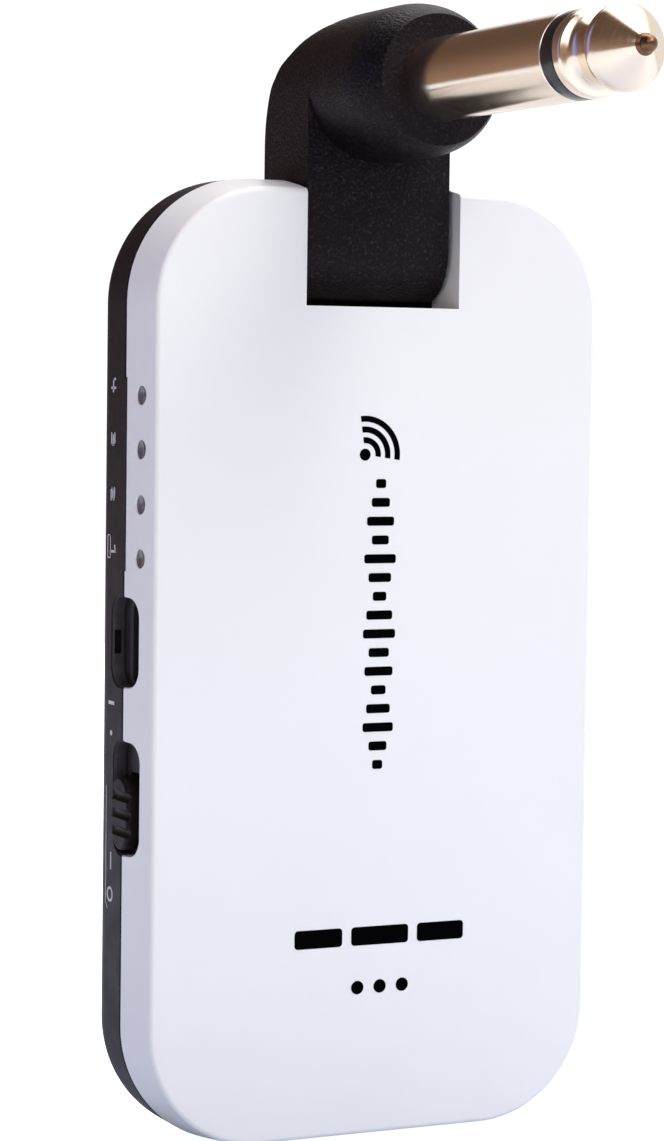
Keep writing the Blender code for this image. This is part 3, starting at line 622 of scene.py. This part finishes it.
def make_shell(kit):
    shell = loft("black_back_shell", shell_rings())
    window_y = (SEAM - LIGHT_WINDOW_STEP + SEAM_GAP, SEAM + 1)
    window = block("window", (-20.0, -18.5), window_y, (LIGHT_WINDOW[0] + 0.08, LIGHT_WINDOW[1] - 0.08))
    combine(shell, "UNION", window)
    half = NOTCH_HALF
    notch = block("notch", (-half, half), (SEAM - 1, NOTCH_BACK), (NOTCH_FLOOR, TOP + 3))
    bay = block("bay", (-16.5, 16.5), (FRONT + 9, FRONT + 10.4), (BOTTOM + 4, BOTTOM + 46))
    rim = ((BACK + 1.5, 0.25), (BACK, 0.25), (BACK - 0.12, 0.07), (BACK - 0.3, 0.0), (RECESS_FLOOR, 0.0))
    recess = loft("round_recess", [(y, recess_cutter(grow)) for y, grow in rim])
    combine(shell, "DIFFERENCE", cavity("shell_room", FRONT + 3, FRONT + 9.7, FRONT + 2, FRONT + 12), bay)
    combine(shell, "DIFFERENCE", recess, notch, *wall_cutters("shell"))
    profile = [(FRONT + 4, 0), (FRONT + 4, 1.1), (FRONT + 8.7, 1.1), (FRONT + 8.7, 1.95)]
    profile += [(BACK - 0.82, 1.95), (BACK - 0.69, 2.12), (BACK + 1, 2.12), (BACK + 1, 0)]
    screws = []
    bosses = []
    for x in (-SCREW_X, SCREW_X):
        centre = (x, 0, SCREW_Z)
        bosses.append(rod("boss", 2.3, "Y", centre, SEAM + SEAM_GAP, FRONT + 10.2))
        screws.append(turned("screw_hole", profile, "Y", centre, 48))
    combine(shell, "UNION", *bosses)
    combine(shell, "DIFFERENCE", *screws)
    soften(shell, 0.09, 2, 50)
    shell.data.materials.append(kit["black"].material)
    shell.data.materials.append(kit["recess"].material)
    for face in shell.data.polygons:
        if abs(face.center.y - RECESS_FLOOR * MM) < 2e-5 and face.normal.y > 0.9:
            face.material_index = 1
    put(shell, "case", "black_shell", kit["black"].material, "back_shell")


def make_case_screws(kit):
    """Pan-head screws with a cross slot."""
    shank = ((2.4, 0), (2.9, 0.85), (8.8, 0.85))
    head = ((8.8, 1.7), (9.5, 1.7), (9.75, 1.62), (9.88, 1.42), (9.95, 1.0), (9.95, 0))
    profile = [(FRONT + depth, radius) for depth, radius in shank + head]
    slot_y = (FRONT + 9.4, FRONT + 11)
    for side, x in (("left", -SCREW_X), ("right", SCREW_X)):
        screw = turned(f"cross_screw_{side}", profile, "Y", (x, 0, SCREW_Z), 48)
        arms = []
        for name, wide, tall in (("slot_a", 0.9, 0.22), ("slot_b", 0.22, 0.9)):
            arms.append(block(name, (x - wide, x + wide), slot_y, (SCREW_Z - tall, SCREW_Z + tall)))
        combine(screw, "DIFFERENCE", *arms)
        soften(screw, 0.04, 1, 50)
        put(screw, "case", "steel", kit["screw"].material, f"case_screw_{side}")


# ---------------------------------------------------------------- left wall: bezel, socket, knob, lights


def make_bezel(kit):
    """Plate at the bottom of both recesses, with the socket's mouth and the knob's slot."""
    low, high = BEZEL

    def socket_mouth(grow):
        return stadium(SEAM, SOCKET_Z, *grown((2.0, 7.0), grow))

    bezel = block("recess_floor_plate", (low.x, high.x), (low.y, high.y), (low.z, high.z))
    mouth = flared("mouth", socket_mouth, "X", low.x, -17.0, 0.15, 1)
    slot = block("slot", (-20, -17), (SEAM - 0.9, SEAM + 0.9), (KNOB[0].z + 1.975, KNOB[1].z + 0.225))
    combine(bezel, "DIFFERENCE", mouth, slot)
    soften(bezel, 0.05, 2, 50)
    put(bezel, "case", "black_shell", kit["deep"].material, "side_bezel")


def make_linings(kit):
    """Grained inner faces of the two openings where they cut into the black half."""
    recesses = (("socket", SEAM, SOCKET_Z, SOCKET_SIZE), ("switch", SWITCH_Y, SWITCH_Z, SWITCH_SIZE))
    for word, y, z, size in recesses:
        outer, flare, inner = (
            opening(y, z, *grown(size, grow), OPENING_CORNER + grow, 10) for grow in (0.01, 0.0, -0.08)
        )
        lining = prism(f"{word}_lining", outer, "X", -19.93, -18.95)
        hole = loft("hole", [(-20.2, flare), (-19.93, flare), (-19.7, inner), (-18.0, inner)], "X")
        front = block("front", (-21, -17), (y - 6, SEAM + 0.16), (z - 6, z + 6))
        window = block("gap", (-19.78, -19.22), (FRONT + 6.0, FRONT + 9.0), SOCKET_WINDOW)
        combine(lining, "DIFFERENCE", hole, front, window)
        weigh(lining, 40)
        put(lining, "case", "black_shell", kit["lining"].material)


def make_socket(kit):
    """Metal shell with two cut corners, a contact tongue on its base, and five contacts."""
    y = SEAM
    z = SOCKET_Z

    def mouth(grow):
        a, b, c = 0.95 + grow, 3.4 + grow, 2.5 + grow
        right = [(y + a, z + b), (y + a, z - b), (y - 0.2, z - b)]
        return right + [(y - a, z - c), (y - a, z + c), (y - 0.2, z + b)]

    shell = loft("charging_socket_shell", [(-17.95, mouth(0.3)), (-12.65, mouth(0.3))], "X")
    room = loft("room", [(-19.0, mouth(0.06)), (-17.6, mouth(0.0)), (-13.2, mouth(0.0))], "X")
    combine(shell, "DIFFERENCE", room)
    soften(shell, 0.06, 2, 30)
    put(shell, "case", "steel", kit["steel"].material, "usb_shell")
    tongue = block("charging_socket_tongue", (-17.5, -12.9), (y + 0.05, y + 0.6), (z - 1.85, z + 1.85))
    base = block("base", (-14.2, -13.25), (y - 0.85, y + 0.85), (z - 2.4, z + 2.4))
    combine(tongue, "UNION", base)
    soften(tongue, 0.06, 2, 30)
    put(tongue, "case", "insulator", kit["deep"].material, "usb_tongue")
    for i in range(5):
        level = z - 1.3 + 0.65 * i
        height = (level - 0.15, level + 0.15)
        contact = block(f"socket_contact_{i + 1}", (-17.3, -14.3), (y + 0.01, y + 0.07), height)
        soften(contact, 0.015, 1, 30)
        put(contact, "case", "gold_plate", kit["gold"].material)


def make_knob(kit):
    """Sliding knob: a soft pad with a raised grip of ridges and grooves."""
    low, high = KNOB
    y = (low.y + high.y) / 2
    z = (low.z + high.z) / 2
    width = high.y - low.y
    length = high.z - low.z
    edge = 0.3
    rings = [(high.x, stadium(y, z, width, length))]
    for i in range(7):
        angle = math.pi / 2 * i / 6
        inset = edge * (1 - math.cos(angle))
        rings.append((low.x + edge - edge * math.sin(angle), stadium(y, z, *grown((width, length), -inset))))
    knob = loft("switch_knob", rings, "X")
    cutters = [block("inner", (-19.55, -18), (y - 0.8, y + 0.8), (z - 0.85, z + 0.85))]
    for i in (-1, 0, 1):
        groove = arc((z + 1.4 * i, low.x - 0.02), 0.40, 0, 360, 24)[:-1]
        outline_points = [(across, along) for along, across in groove]
        cutters.append(prism(f"groove_{i}", outline_points, "Y", y - 3, y + 3))
    combine(knob, "DIFFERENCE", *cutters)
    soften(knob, 0.10, 2, 35)
    put(knob, "power_switch", "black_shell", kit["knob"].material, "power_knob")


def make_lights(kit):
    """Smoked window, slightly dished, in each light hole, on the strip behind the wall."""
    strip = block("light_guide_strip", (-17.6, -16.6), (FRONT + 1.6, FRONT + 5.2), (GUIDE[0].z, GUIDE[1].z))
    soften(strip, 0.1, 2, 30)
    put(strip, "case", "clear_guide", kit["lens"].material, "light_guide")
    side = LENS_RADIUS + 0.02
    profile = [(-17.65, 0), (-17.65, side), (LENS_FACE + 0.02, side), (LENS_FACE, LENS_RADIUS)]
    for k in range(1, 9):
        share = 1 - k / 8
        profile.append((LENS_FACE + 0.16 * (1 - share**2), LENS_RADIUS * share))
    for i, level in enumerate(LIGHTS):
        lens_end = turned(f"light_lens_{4 - i}", profile, "X", (0, LIGHT_Y, BOTTOM + level), 40)
        put(lens_end, "case", "clear_guide", kit["lens"].material)


def make_button(kit):
    """Oblong key with a round edge, kept in by a flange behind the wall."""
    low, high = BUTTON
    size = (3.1, 8.5)
    edge = 0.35
    rings = [(17.8, stadium(BUTTON_Y, BUTTON_Z, *size))]
    for i in range(7):
        angle = math.pi / 2 * i / 6
        face = stadium(BUTTON_Y, BUTTON_Z, *grown(size, edge * (math.cos(angle) - 1)))
        rings.append((high.x - edge + edge * math.sin(angle), face))
    button = loft("channel_key", rings, "X")
    flange = prism("flange", stadium(BUTTON_Y, BUTTON_Z, *grown(size, 0.55)), "X", low.x, 18.1)
    combine(button, "UNION", flange)
    weigh(button)
    put(button, "channel_key", "button_grey", kit["button"].material, "channel_button")


# ---------------------------------------------------------------- arm


def head_section(radius, count=96):
    """A circle, a little flattened above and below where the head is at its fullest."""
    share = min(max((radius - RIM) / (HEAD - RIM), 0), 1)
    above = 1 + share * (HEAD_TOP / HEAD - 1)
    below = 1 + share * (HEAD_BOTTOM / HEAD - 1)
    circle = arc((0, 0), radius, 0, 360, count)[:-1]
    return [(x, z * (above if z > 0 else below)) for x, z in circle]


def elbow_top(y):
    """Height of the elbow's round back at a depth."""
    run = max(y - (ARM_BACK - ELBOW), 0)
    return HEAD_TOP - ELBOW + math.sqrt(max(ELBOW**2 - run**2, 0))


def neck_section(y, count=96):
    """Arched top and straight sides, cut by the elbow's arc above and the hinge barrel below."""
    top = elbow_top(y)
    bottom = HINGE.z - math.sqrt(max(ARM_BARREL**2 - (y - HINGE.y) ** 2, 0))
    start = min(top, 0)
    half = count // 2
    side = count // 8
    arch = HEAD_TOP / ARM_HALF
    points = [(x, min(z * arch, top)) for x, z in arc((0, 0), ARM_HALF, 0, 180, half)]
    points += [(-ARM_HALF, start + (bottom - start) * i / side) for i in range(1, side + 1)]
    across = count - len(points) - (side - 1)
    points += [(-ARM_HALF + 2 * ARM_HALF * i / (across + 1), bottom) for i in range(1, across + 1)]
    points += [(ARM_HALF, bottom + (start - bottom) * i / side) for i in range(side - 1)]
    return points


def arm_rings():
    """Flat rim with a narrow soft edge, rounded head, then the neck round the hinge's barrel."""
    rings = [(0.0, head_section(RIM - 0.10)), (0.02, head_section(RIM - 0.03))]
    steps = 14
    length, rounding = 4.3, 8.0
    for i in range(steps + 1):
        run = length * (1 - i / steps)
        drop = rounding - math.sqrt(rounding**2 - run**2)
        rings.append((length - run + (0.07 if i == 0 else 0), head_section(HEAD - drop)))
    for y in [ARM_FRONT - 2.1 * i / 8 for i in range(8, -1, -1)]:
        rings.append((y, [(x, min(z, elbow_top(y))) for x, z in head_section(HEAD)]))
    for angle in range(-90, 91, 6):
        y = HINGE.y + ARM_BARREL * math.sin(math.radians(angle))
        rings.append((y, neck_section(y)))
    return rings


def make_arm(kit):
    """The whole arm, hollowed for the plug and its cable, then split into its two halves."""
    arm = loft("swivel_arm", arm_rings(), smooth=40)
    soften(arm, 0.28, 3, 50)
    arm.modifiers.clear()
    bore = rod("bore", PLUG + 0.012, "Y", (0, 0, 0), -2, 6, 64)
    room = rod("room", 4.3, "Y", (0, 0, 0), 3.7, 10.2, 48)
    behind = rod("behind", 2.6, "Y", (0, 0, 0), 9.8, 14.5, 48)
    channel = block("channel", (-1.4, 1.4), (HINGE.y - 1.6, HINGE.y + 1.6), (HINGE.z, -1))
    pivot = rod("pivot", 1.6, "X", (0, HINGE.y, HINGE.z), -ARM_HALF - 1, ARM_HALF + 1)
    combine(arm, "DIFFERENCE", bore, room, behind, channel, pivot)
    for side, sign in (("left", -1), ("right", 1)):
        half = arm.copy()
        half.data = arm.data.copy()
        half.name = f"swivel_arm_{side}"
        bpy.context.scene.collection.objects.link(half)
        low, high = sorted((sign * 0.003, sign * (ARM_HALF + 2)))
        combine(half, "INTERSECT", block("side", (low, high), (-3, 30), (-30, 20)))
        weigh(half, 40)
        put(half, "plug_arm", "black_shell", kit["arm"].material, f"arm_{side}_half")
    bpy.data.objects.remove(arm, do_unlink=True)


# ---------------------------------------------------------------- plug


def plug_piece(name, profile):
    return turned(name, profile, "Y", (0, 0, 0), 144, 30)


def make_plug(kit):
    sleeve = [(RING_FROM, 2.15), (RING_FROM, 3.10), (RING_FROM + 0.03, 3.15), (RING_FROM + 0.08, PLUG)]
    sleeve += [(y, PLUG) for y in (RING_FROM + 0.12, RING_FROM + 0.3, -16, -12, -8, -4, -1, 3.7, 3.9)]
    sleeve += [(3.9, 3.95), (5.1, 3.95), (5.1, 2.9), (6.6, 2.9), (6.6, 2.15)]
    put(plug_piece("gold_sleeve", sleeve), "plug_arm", "gold_plate", kit["gold"].material, "plug_sleeve")
    ring = [(RING_TO, 1.3), (RING_TO, 3.08), (RING_TO + 0.05, 3.16), (RING_TO + 0.12, PLUG)]
    ring += [(RING_FROM - 0.15, PLUG), (RING_FROM - 0.08, 3.16), (RING_FROM - 0.04, 3.08)]
    ring += [(RING_FROM - 0.04, 2.05), (7.3, 2.05), (7.3, 1.3)]
    insulator = plug_piece("insulating_ring", ring)
    put(insulator, "plug_arm", "insulator", kit["ring"].material, "plug_insulator")
    tip = plug_piece("gold_tip", tip_profile())
    tip.data.materials.append(kit["gold"].material)
    tip.data.materials.append(kit["nose"].material)
    # The nose's ball takes the dark brass, a painted dark reflection.
    for face in tip.data.polygons:
        face.material_index = int(face.center.y < (TIP[0].y + 1.85 * NOSE) * MM)
    put(tip, "plug_arm", "gold_plate", kit["gold"].material, "plug_tip")


def tip_profile():
    """Collar, groove, bulb and cone, then the nose's ball on a narrow neck."""
    start = RING_TO - 0.05
    collar = [(0.0, 3.09), (0.04, 3.15)] + [(run, PLUG) for run in (0.09, 0.14, 0.3, 0.75, 0.9)]
    groove = [(1.0, 3.13), (1.08, 3.02), (1.16, 2.80), (1.3, 2.58), (1.5, 2.42), (1.75, 2.33), (2.1, 2.30)]
    groove += [(2.6, 2.30), (3.1, 2.34), (3.45, 2.45), (3.75, 2.62), (4.0, 2.82), (4.12, 2.93), (4.2, 3.0)]
    bulb = [(4.32, 3.05), (4.5, BULB), (4.68, BULB), (4.86, 3.05), (5.02, 2.97), (5.2, 2.84)]
    cone = [(5.6, 2.48), (6.2, 1.90), (6.8, 1.31), (7.1, 1.01), (7.3, 0.80), (7.42, 0.66), (7.48, 0.58)]
    cone.append((7.53, 0.52))
    profile = [(8.3, 0), (8.3, 1.15), (start, 1.15)]
    profile += [(start - run, radius) for run, radius in collar + groove + bulb + cone]
    end = TIP[0].y
    for i in range(14):
        angle = math.radians(35 + 140 * i / 13)
        profile.append((end + NOSE + NOSE * math.cos(angle), NOSE * math.sin(angle)))
    profile.append((end, 0))
    return profile


# ---------------------------------------------------------------- print


def shape_on_front(name, outline_points, kit, thick=0.02):
    piece = prism(name, outline_points, "Y", FRONT - thick, FRONT + 0.05)
    put(piece, "case", "black_shell", kit["print_black"].material)


def shape_on_left(name, outline_points, kit, thick=0.02):
    piece = prism(name, outline_points, "X", -HALF_WIDTH - thick, -HALF_WIDTH + 0.05)
    put(piece, "case", "white_shell", kit["print_white"].material)


def band(centre, inner, outer, start, end, steps=28):
    return arc(centre, outer, start, end, steps) + arc(centre, inner, end, start, steps)


def pill(x, z, width, tall, radius=None, steps=6):
    """A bar with rounded corners, centred on a point."""
    radius = min(width, tall) / 2 - 1e-3 if radius is None else radius
    points = []
    a, b = width / 2 - radius, tall / 2 - radius
    for cx, cz, start in ((a, b, 0), (-a, b, 90), (-a, -b, 180), (a, -b, 270)):
        points += arc((x + cx, z + cz), radius, start, start + 90, steps)
    return points


def print_front(kit):
    """Radio-wave symbol, a column of level bars, and two rows of plain marks."""
    corner = (-1.45, BOTTOM + 55.3)
    shape_on_front("wave_dot", arc(corner, 0.48, 0, 360, 24)[:-1], kit)
    for i, radius in enumerate((1.15, 2.0, 2.85)):
        shape_on_front(f"wave_arc_{i + 1}", band(corner, radius - 0.24, radius + 0.24, -8, 98), kit)
    levels = (0.9, 1.6, 2.4, 1.5, 2.8, 2.0, 1.2, 2.3, 2.86, 1.8, 2.5, 1.3, 2.1, 2.7, 1.6, 0.9)
    for i, width in enumerate(levels):
        z = BOTTOM + 53.0 - 1.5 * i
        shape_on_front(f"level_bar_{i + 1}", pill(0.0, z, width, 0.72, 0.2), kit)
    for i, (x, width) in enumerate(((-5.0, 4.2), (0.45, 5.1), (5.9, 4.2))):
        shape_on_front(f"plain_bar_{i + 1}", pill(x, BOTTOM + 16.7, width, 1.5, 0.3), kit)
    for i, x in enumerate((-1.5, 0.5, 2.5)):
        shape_on_front(f"plain_dot_{i + 1}", pill(x, BOTTOM + 12.55, 1.1, 1.1), kit)


DIGITS = {
    "1": (((-0.15, 0.3), (0.1, 0.45)), ((0.1, 0.45), (0.1, -0.45))),
    "2": (((-0.25, 0.4), (0.22, 0.4)), ((0.25, 0.4), (0.25, 0.0)), ((0.25, 0.0), (-0.25, 0.0)),
          ((-0.25, 0.0), (-0.25, -0.4)), ((-0.25, -0.4), (0.27, -0.4))),
    "3": (((-0.25, 0.4), (0.25, 0.4)), ((0.25, 0.4), (0.25, -0.4)), ((-0.15, 0.0), (0.25, 0.0)),
          ((-0.25, -0.4), (0.25, -0.4))),
    "4": (((-0.25, 0.42), (-0.25, -0.05)), ((-0.25, -0.05), (0.3, -0.05)), ((0.15, 0.45), (0.15, -0.45))),
}


def stroke(start, end, width):
    """A straight bar between two points."""
    a, b = Vector(start), Vector(end)
    along = (b - a).normalized() * width / 2
    across = Vector((-along.y, along.x))
    corners = (a - along + across, a - along - across, b + along - across, b + along + across)
    return [tuple(corner) for corner in corners]


def digit(label, name, y, z, kit, size=1.35, width=0.19):
    """A number given a quarter turn, so that its top points to the front."""
    for i, (start, end) in enumerate(DIGITS[label]):
        turned_points = [(y - p[1] * size * 0.75, z - p[0] * size * 1.5) for p in (start, end)]
        shape_on_left(f"{name}_{i + 1}", stroke(*turned_points, width), kit)


def print_left(kit):
    """Numbers beside the lights, a battery mark at the last, and the power switch's marks."""
    y = FRONT + 7.35
    for label, level in (("4", 60.6), ("3", 56.3), ("2", 52.0), ("1", 47.6)):
        digit(label, f"number_{label}", y - (0.25 if label == "1" else 0), BOTTOM + level, kit, 1.15)
    battery_y, battery_z = FRONT + 8.05, BOTTOM + 47.8
    left, right = battery_y - 0.28, battery_y + 0.28
    low, high = battery_z - 0.9, battery_z + 0.9
    sides = (
        ((right, low), (right, high)),
        ((left, low), (left, high)),
        ((left, low), (right, low)),
        ((left, high), (right, high)),
    )
    for i, (start, end) in enumerate(sides):
        shape_on_left(f"battery_mark_{i + 1}", stroke(start, end, 0.09), kit)
    shape_on_left("on_bar", stroke((y - 0.55, BOTTOM + 35.4), (y + 0.35, BOTTOM + 35.4), 0.28), kit)
    shape_on_left("on_dot", arc((y - 0.1, BOTTOM + 33.0), 0.22, 0, 360, 16)[:-1], kit)
    shape_on_left("off_dash", stroke((y - 0.25, BOTTOM + 22.2), (y - 0.25, BOTTOM + 23.4), 0.2), kit)
    shape_on_left("off_ring", band((y - 0.1, BOTTOM + 20.1), 0.42, 0.62, 0, 359, 32), kit)
    line_y, line_end = FRONT + 8.15, BOTTOM + 19.4
    shape_on_left("travel_line", stroke((line_y, line_end), (line_y, BOTTOM + 28.7), 0.07), kit)
    shape_on_left("travel_end", stroke((line_y, line_end), (line_y - 0.4, BOTTOM + 18.9), 0.07), kit)


# ---------------------------------------------------------------- CAD nodes that stay


def finish_nodes(kit):
    """Gives each node that is still shown a procedural material."""
    chosen = {
        "steel": ("hinge_tube", "hinge_clip_left", "hinge_clip_right", "friction_washer_left",
                  "friction_washer_right", "board_screw_1", "board_screw_2", "rf_shield",
                  "switch_housing", "tact_switch", "sleeve_tag", "plug_nut", "tip_tag"),
        "nylon": ("hinge_bush_left", "hinge_bush_right"),
        "deep": ("switch_slider", "tact_plunger"),
        "board": ("main_board",),
        "chip": ("radio_chip", "codec_chip", "charger_chip", "chip_antenna"),
        "lamp": ("status_lamp_1", "status_lamp_2", "status_lamp_3", "status_lamp_4"),
        "foil": ("battery_cell",),
        "foam": ("battery_pad",),
        "cable": ("plug_cable", "board_cable"),
    }
    for key, names in chosen.items():
        for name in names:
            data = frame["nodes"][name].data
            data.materials.clear()
            data.materials.append(kit[key].material)


# ---------------------------------------------------------------- set and camera


def make_floor():
    """Pale table with a painted shadow, darker and bluer under the object, that the camera sees run into the
    background.
    """
    mesh = bmesh.new()
    bmesh.ops.create_circle(mesh, cap_ends=True, segments=96, radius=480)
    bmesh.ops.translate(mesh, verts=mesh.verts, vec=(0, 0, BOTTOM - 0.15))
    floor = new_object("studio_floor", mesh)
    pale, painted_shadow = (0.78, 0.83, 0.92), (0.44, 0.50, 0.66)
    made = Shader("pale_floor", pale, 0.7)
    # Painted shadow: the colour turns darker and bluer towards the object's foot.
    made.drive("Base Color", made.ramp(made.around(0.13), (0.0, pale), (1.0, painted_shadow)))
    made.drive("Roughness", made.spread(made.noise(8, 3), 0.65, 0.75))
    made.set("Emission Color", (0.85, 0.95, 1.0, 1.0))
    path = made.nodes.new("ShaderNodeLightPath").outputs["Is Camera Ray"]
    made.drive("Emission Strength", made.spread(path, FLOOR_GLOW, FLOOR_GLOW + 1.0, 0.0, 1.0))
    made.set("Specular IOR Level", 0.2)
    floor.data.materials.append(made.material)


FLOOR_GLOW = 0.10
DARK_LOW = (0.29, 0.19, 0.133)
DARK_HIGH = (0.115, 0.071, 0.053)
RIGHT_WARM = (0.85, 0.837, 0.825)
FRONT_SOFT = (0.45, 0.443, 0.441)
FRONT_COOL = (2.30, 2.27, 2.42)
LEFT_DUSK = (0.32, 0.33, 0.78)
TOP_BRIGHT = (3.65, 3.64, 3.72)


class World:
    """Node helpers for surroundings that depend on direction only."""

    def __init__(self):
        world = bpy.data.worlds.new("studio")
        bpy.context.scene.world = world
        world.use_nodes = True
        self.nodes, self.links = world.node_tree.nodes, world.node_tree.links
        self.nodes.clear()
        where = self.nodes.new("ShaderNodeTexCoord")
        split = self.nodes.new("ShaderNodeSeparateXYZ")
        self.links.new(where.outputs["Generated"], split.inputs["Vector"])
        self.x, self.y, self.z = (split.outputs[axis] for axis in "XYZ")
        minus = self.nodes.new("ShaderNodeValue")
        minus.outputs["Value"].default_value = -1.0
        self.minus = minus.outputs["Value"]

    def step(self, value, low, high, start=0.0, end=1.0):
        node = self.nodes.new("ShaderNodeMapRange")
        node.interpolation_type = "SMOOTHSTEP"
        for key, number in zip(("From Min", "From Max", "To Min", "To Max"), (low, high, start, end)):
            node.inputs[key].default_value = number
        self.links.new(value, node.inputs["Value"])
        return node.outputs["Result"]

    def ramp(self, value, low, high, start, end):
        node = self.nodes.new("ShaderNodeMapRange")
        for key, number in zip(("From Min", "From Max", "To Min", "To Max"), (low, high, start, end)):
            node.inputs[key].default_value = number
        self.links.new(value, node.inputs["Value"])
        return node.outputs["Result"]

    def maths(self, operation, a, b):
        node = self.nodes.new("ShaderNodeMath")
        node.operation = operation
        self.links.new(a, node.inputs[0])
        self.links.new(b, node.inputs[1])
        return node.outputs["Value"]

    def mix(self, share, first, second):
        node = self.nodes.new("ShaderNodeMix")
        node.data_type = "RGBA"
        self.links.new(share, node.inputs["Factor"])
        for socket, value in ((node.inputs["A"], first), (node.inputs["B"], second)):
            if isinstance(value, tuple):
                socket.default_value = (*value, 1.0)
            else:
                self.links.new(value, socket)
        return node.outputs["Result"]


def make_world():
    """Light by direction: bright in front on the left and above on the right, even on the right,
    bluish behind on the left, dim and warm elsewhere. The camera sees plain white instead.
    """
    world = World()
    turned_left = world.maths("MULTIPLY", world.x, world.minus)
    turned_front = world.maths("MULTIPLY", world.y, world.minus)
    lean = world.maths("ADD", world.x, world.ramp(world.z, 0.4, 1.0, 0.0, 0.3))
    dim = world.mix(world.step(world.z, -0.15, 0.50), DARK_LOW, DARK_HIGH)
    dusk = world.maths("MULTIPLY", world.step(turned_left, 0.55, 0.85), world.step(world.y, 0.0, 0.3))
    dim = world.mix(dusk, dim, LEFT_DUSK)
    dim = world.mix(world.step(lean, 0.27, 0.38), dim, RIGHT_WARM)
    raised = world.mix(world.step(world.z, 0.15, 0.40), DARK_LOW, FRONT_COOL)
    front = world.mix(world.step(turned_left, -0.1, 0.3), FRONT_SOFT, raised)
    dim = world.mix(world.step(turned_front, 0.48, 0.75), dim, front)
    above = world.maths("MULTIPLY", world.step(world.z, 0.55, 0.85), world.step(world.y, -0.6, -0.2))
    above = world.maths("MULTIPLY", above, world.step(lean, 0.05, 0.35))
    surroundings = world.mix(above, dim, TOP_BRIGHT)
    lit = world.nodes.new("ShaderNodeBackground")
    world.links.new(surroundings, lit.inputs["Color"])
    lit.inputs["Strength"].default_value = 1.0
    seen = world.nodes.new("ShaderNodeBackground")
    seen.inputs["Color"].default_value = (1, 1, 1, 1)
    seen.inputs["Strength"].default_value = 1.1
    mix = world.nodes.new("ShaderNodeMixShader")
    path = world.nodes.new("ShaderNodeLightPath")
    world.links.new(path.outputs["Is Camera Ray"], mix.inputs["Fac"])
    world.links.new(lit.outputs["Background"], mix.inputs[1])
    world.links.new(seen.outputs["Background"], mix.inputs[2])
    output = world.nodes.new("ShaderNodeOutputWorld")
    world.links.new(mix.outputs["Shader"], output.inputs["Surface"])


def softbox(name, position, target, size, power, color=(1, 1, 1)):
    data = bpy.data.lights.new(name, "AREA")
    data.shape = "RECTANGLE"
    data.size, data.size_y = size[0] * MM, size[1] * MM
    data.energy = power
    data.color = color
    light = bpy.data.objects.new(name, data)
    bpy.context.scene.collection.objects.link(light)
    light.location = Vector(position) * MM
    direction = (Vector(target) - Vector(position)).normalized()
    light.rotation_euler = direction.to_track_quat("-Z", "Y").to_euler()
    return light


def make_lights_in_room():
    softbox("right_box", (90, -220, 200), (0, 5, -30), (110, 110), 0.30, (1.0, 0.985, 0.97))


def make_camera():
    data = bpy.data.cameras.new("camera")
    data.sensor_width = 36
    data.sensor_fit = "AUTO"
    data.lens = 99.02
    data.clip_start, data.clip_end = 0.01, 20
    camera = bpy.data.objects.new("camera", data)
    bpy.context.scene.collection.objects.link(camera)
    yaw, pitch, roll = (math.radians(a) for a in (-25.482, -3.498, 0.763))
    forward = Vector((-math.sin(yaw) * math.cos(pitch), math.cos(yaw) * math.cos(pitch), math.sin(pitch)))
    right = Vector((math.cos(yaw), math.sin(yaw), 0))
    up = right.cross(forward)
    tilted_right = right * math.cos(roll) + up * math.sin(roll)
    tilted_up = up * math.cos(roll) - right * math.sin(roll)
    turn = Matrix((tilted_right, tilted_up, -forward)).transposed().to_4x4()
    camera.matrix_world = Matrix.Translation(Vector((-0.110983, -0.214691, -0.022911))) @ turn
    bpy.context.scene.camera = camera


def main():
    kit = make_materials()
    make_camera()
    make_world()
    make_floor()
    make_lights_in_room()
    make_cover(kit)
    make_shell(kit)
    make_case_screws(kit)
    make_bezel(kit)
    make_linings(kit)
    make_socket(kit)
    make_knob(kit)
    make_lights(kit)
    make_button(kit)
    make_arm(kit)
    make_plug(kit)
    print_front(kit)
    print_left(kit)
    finish_nodes(kit)
    bpy.context.scene.view_settings.view_transform = "Standard"


main()
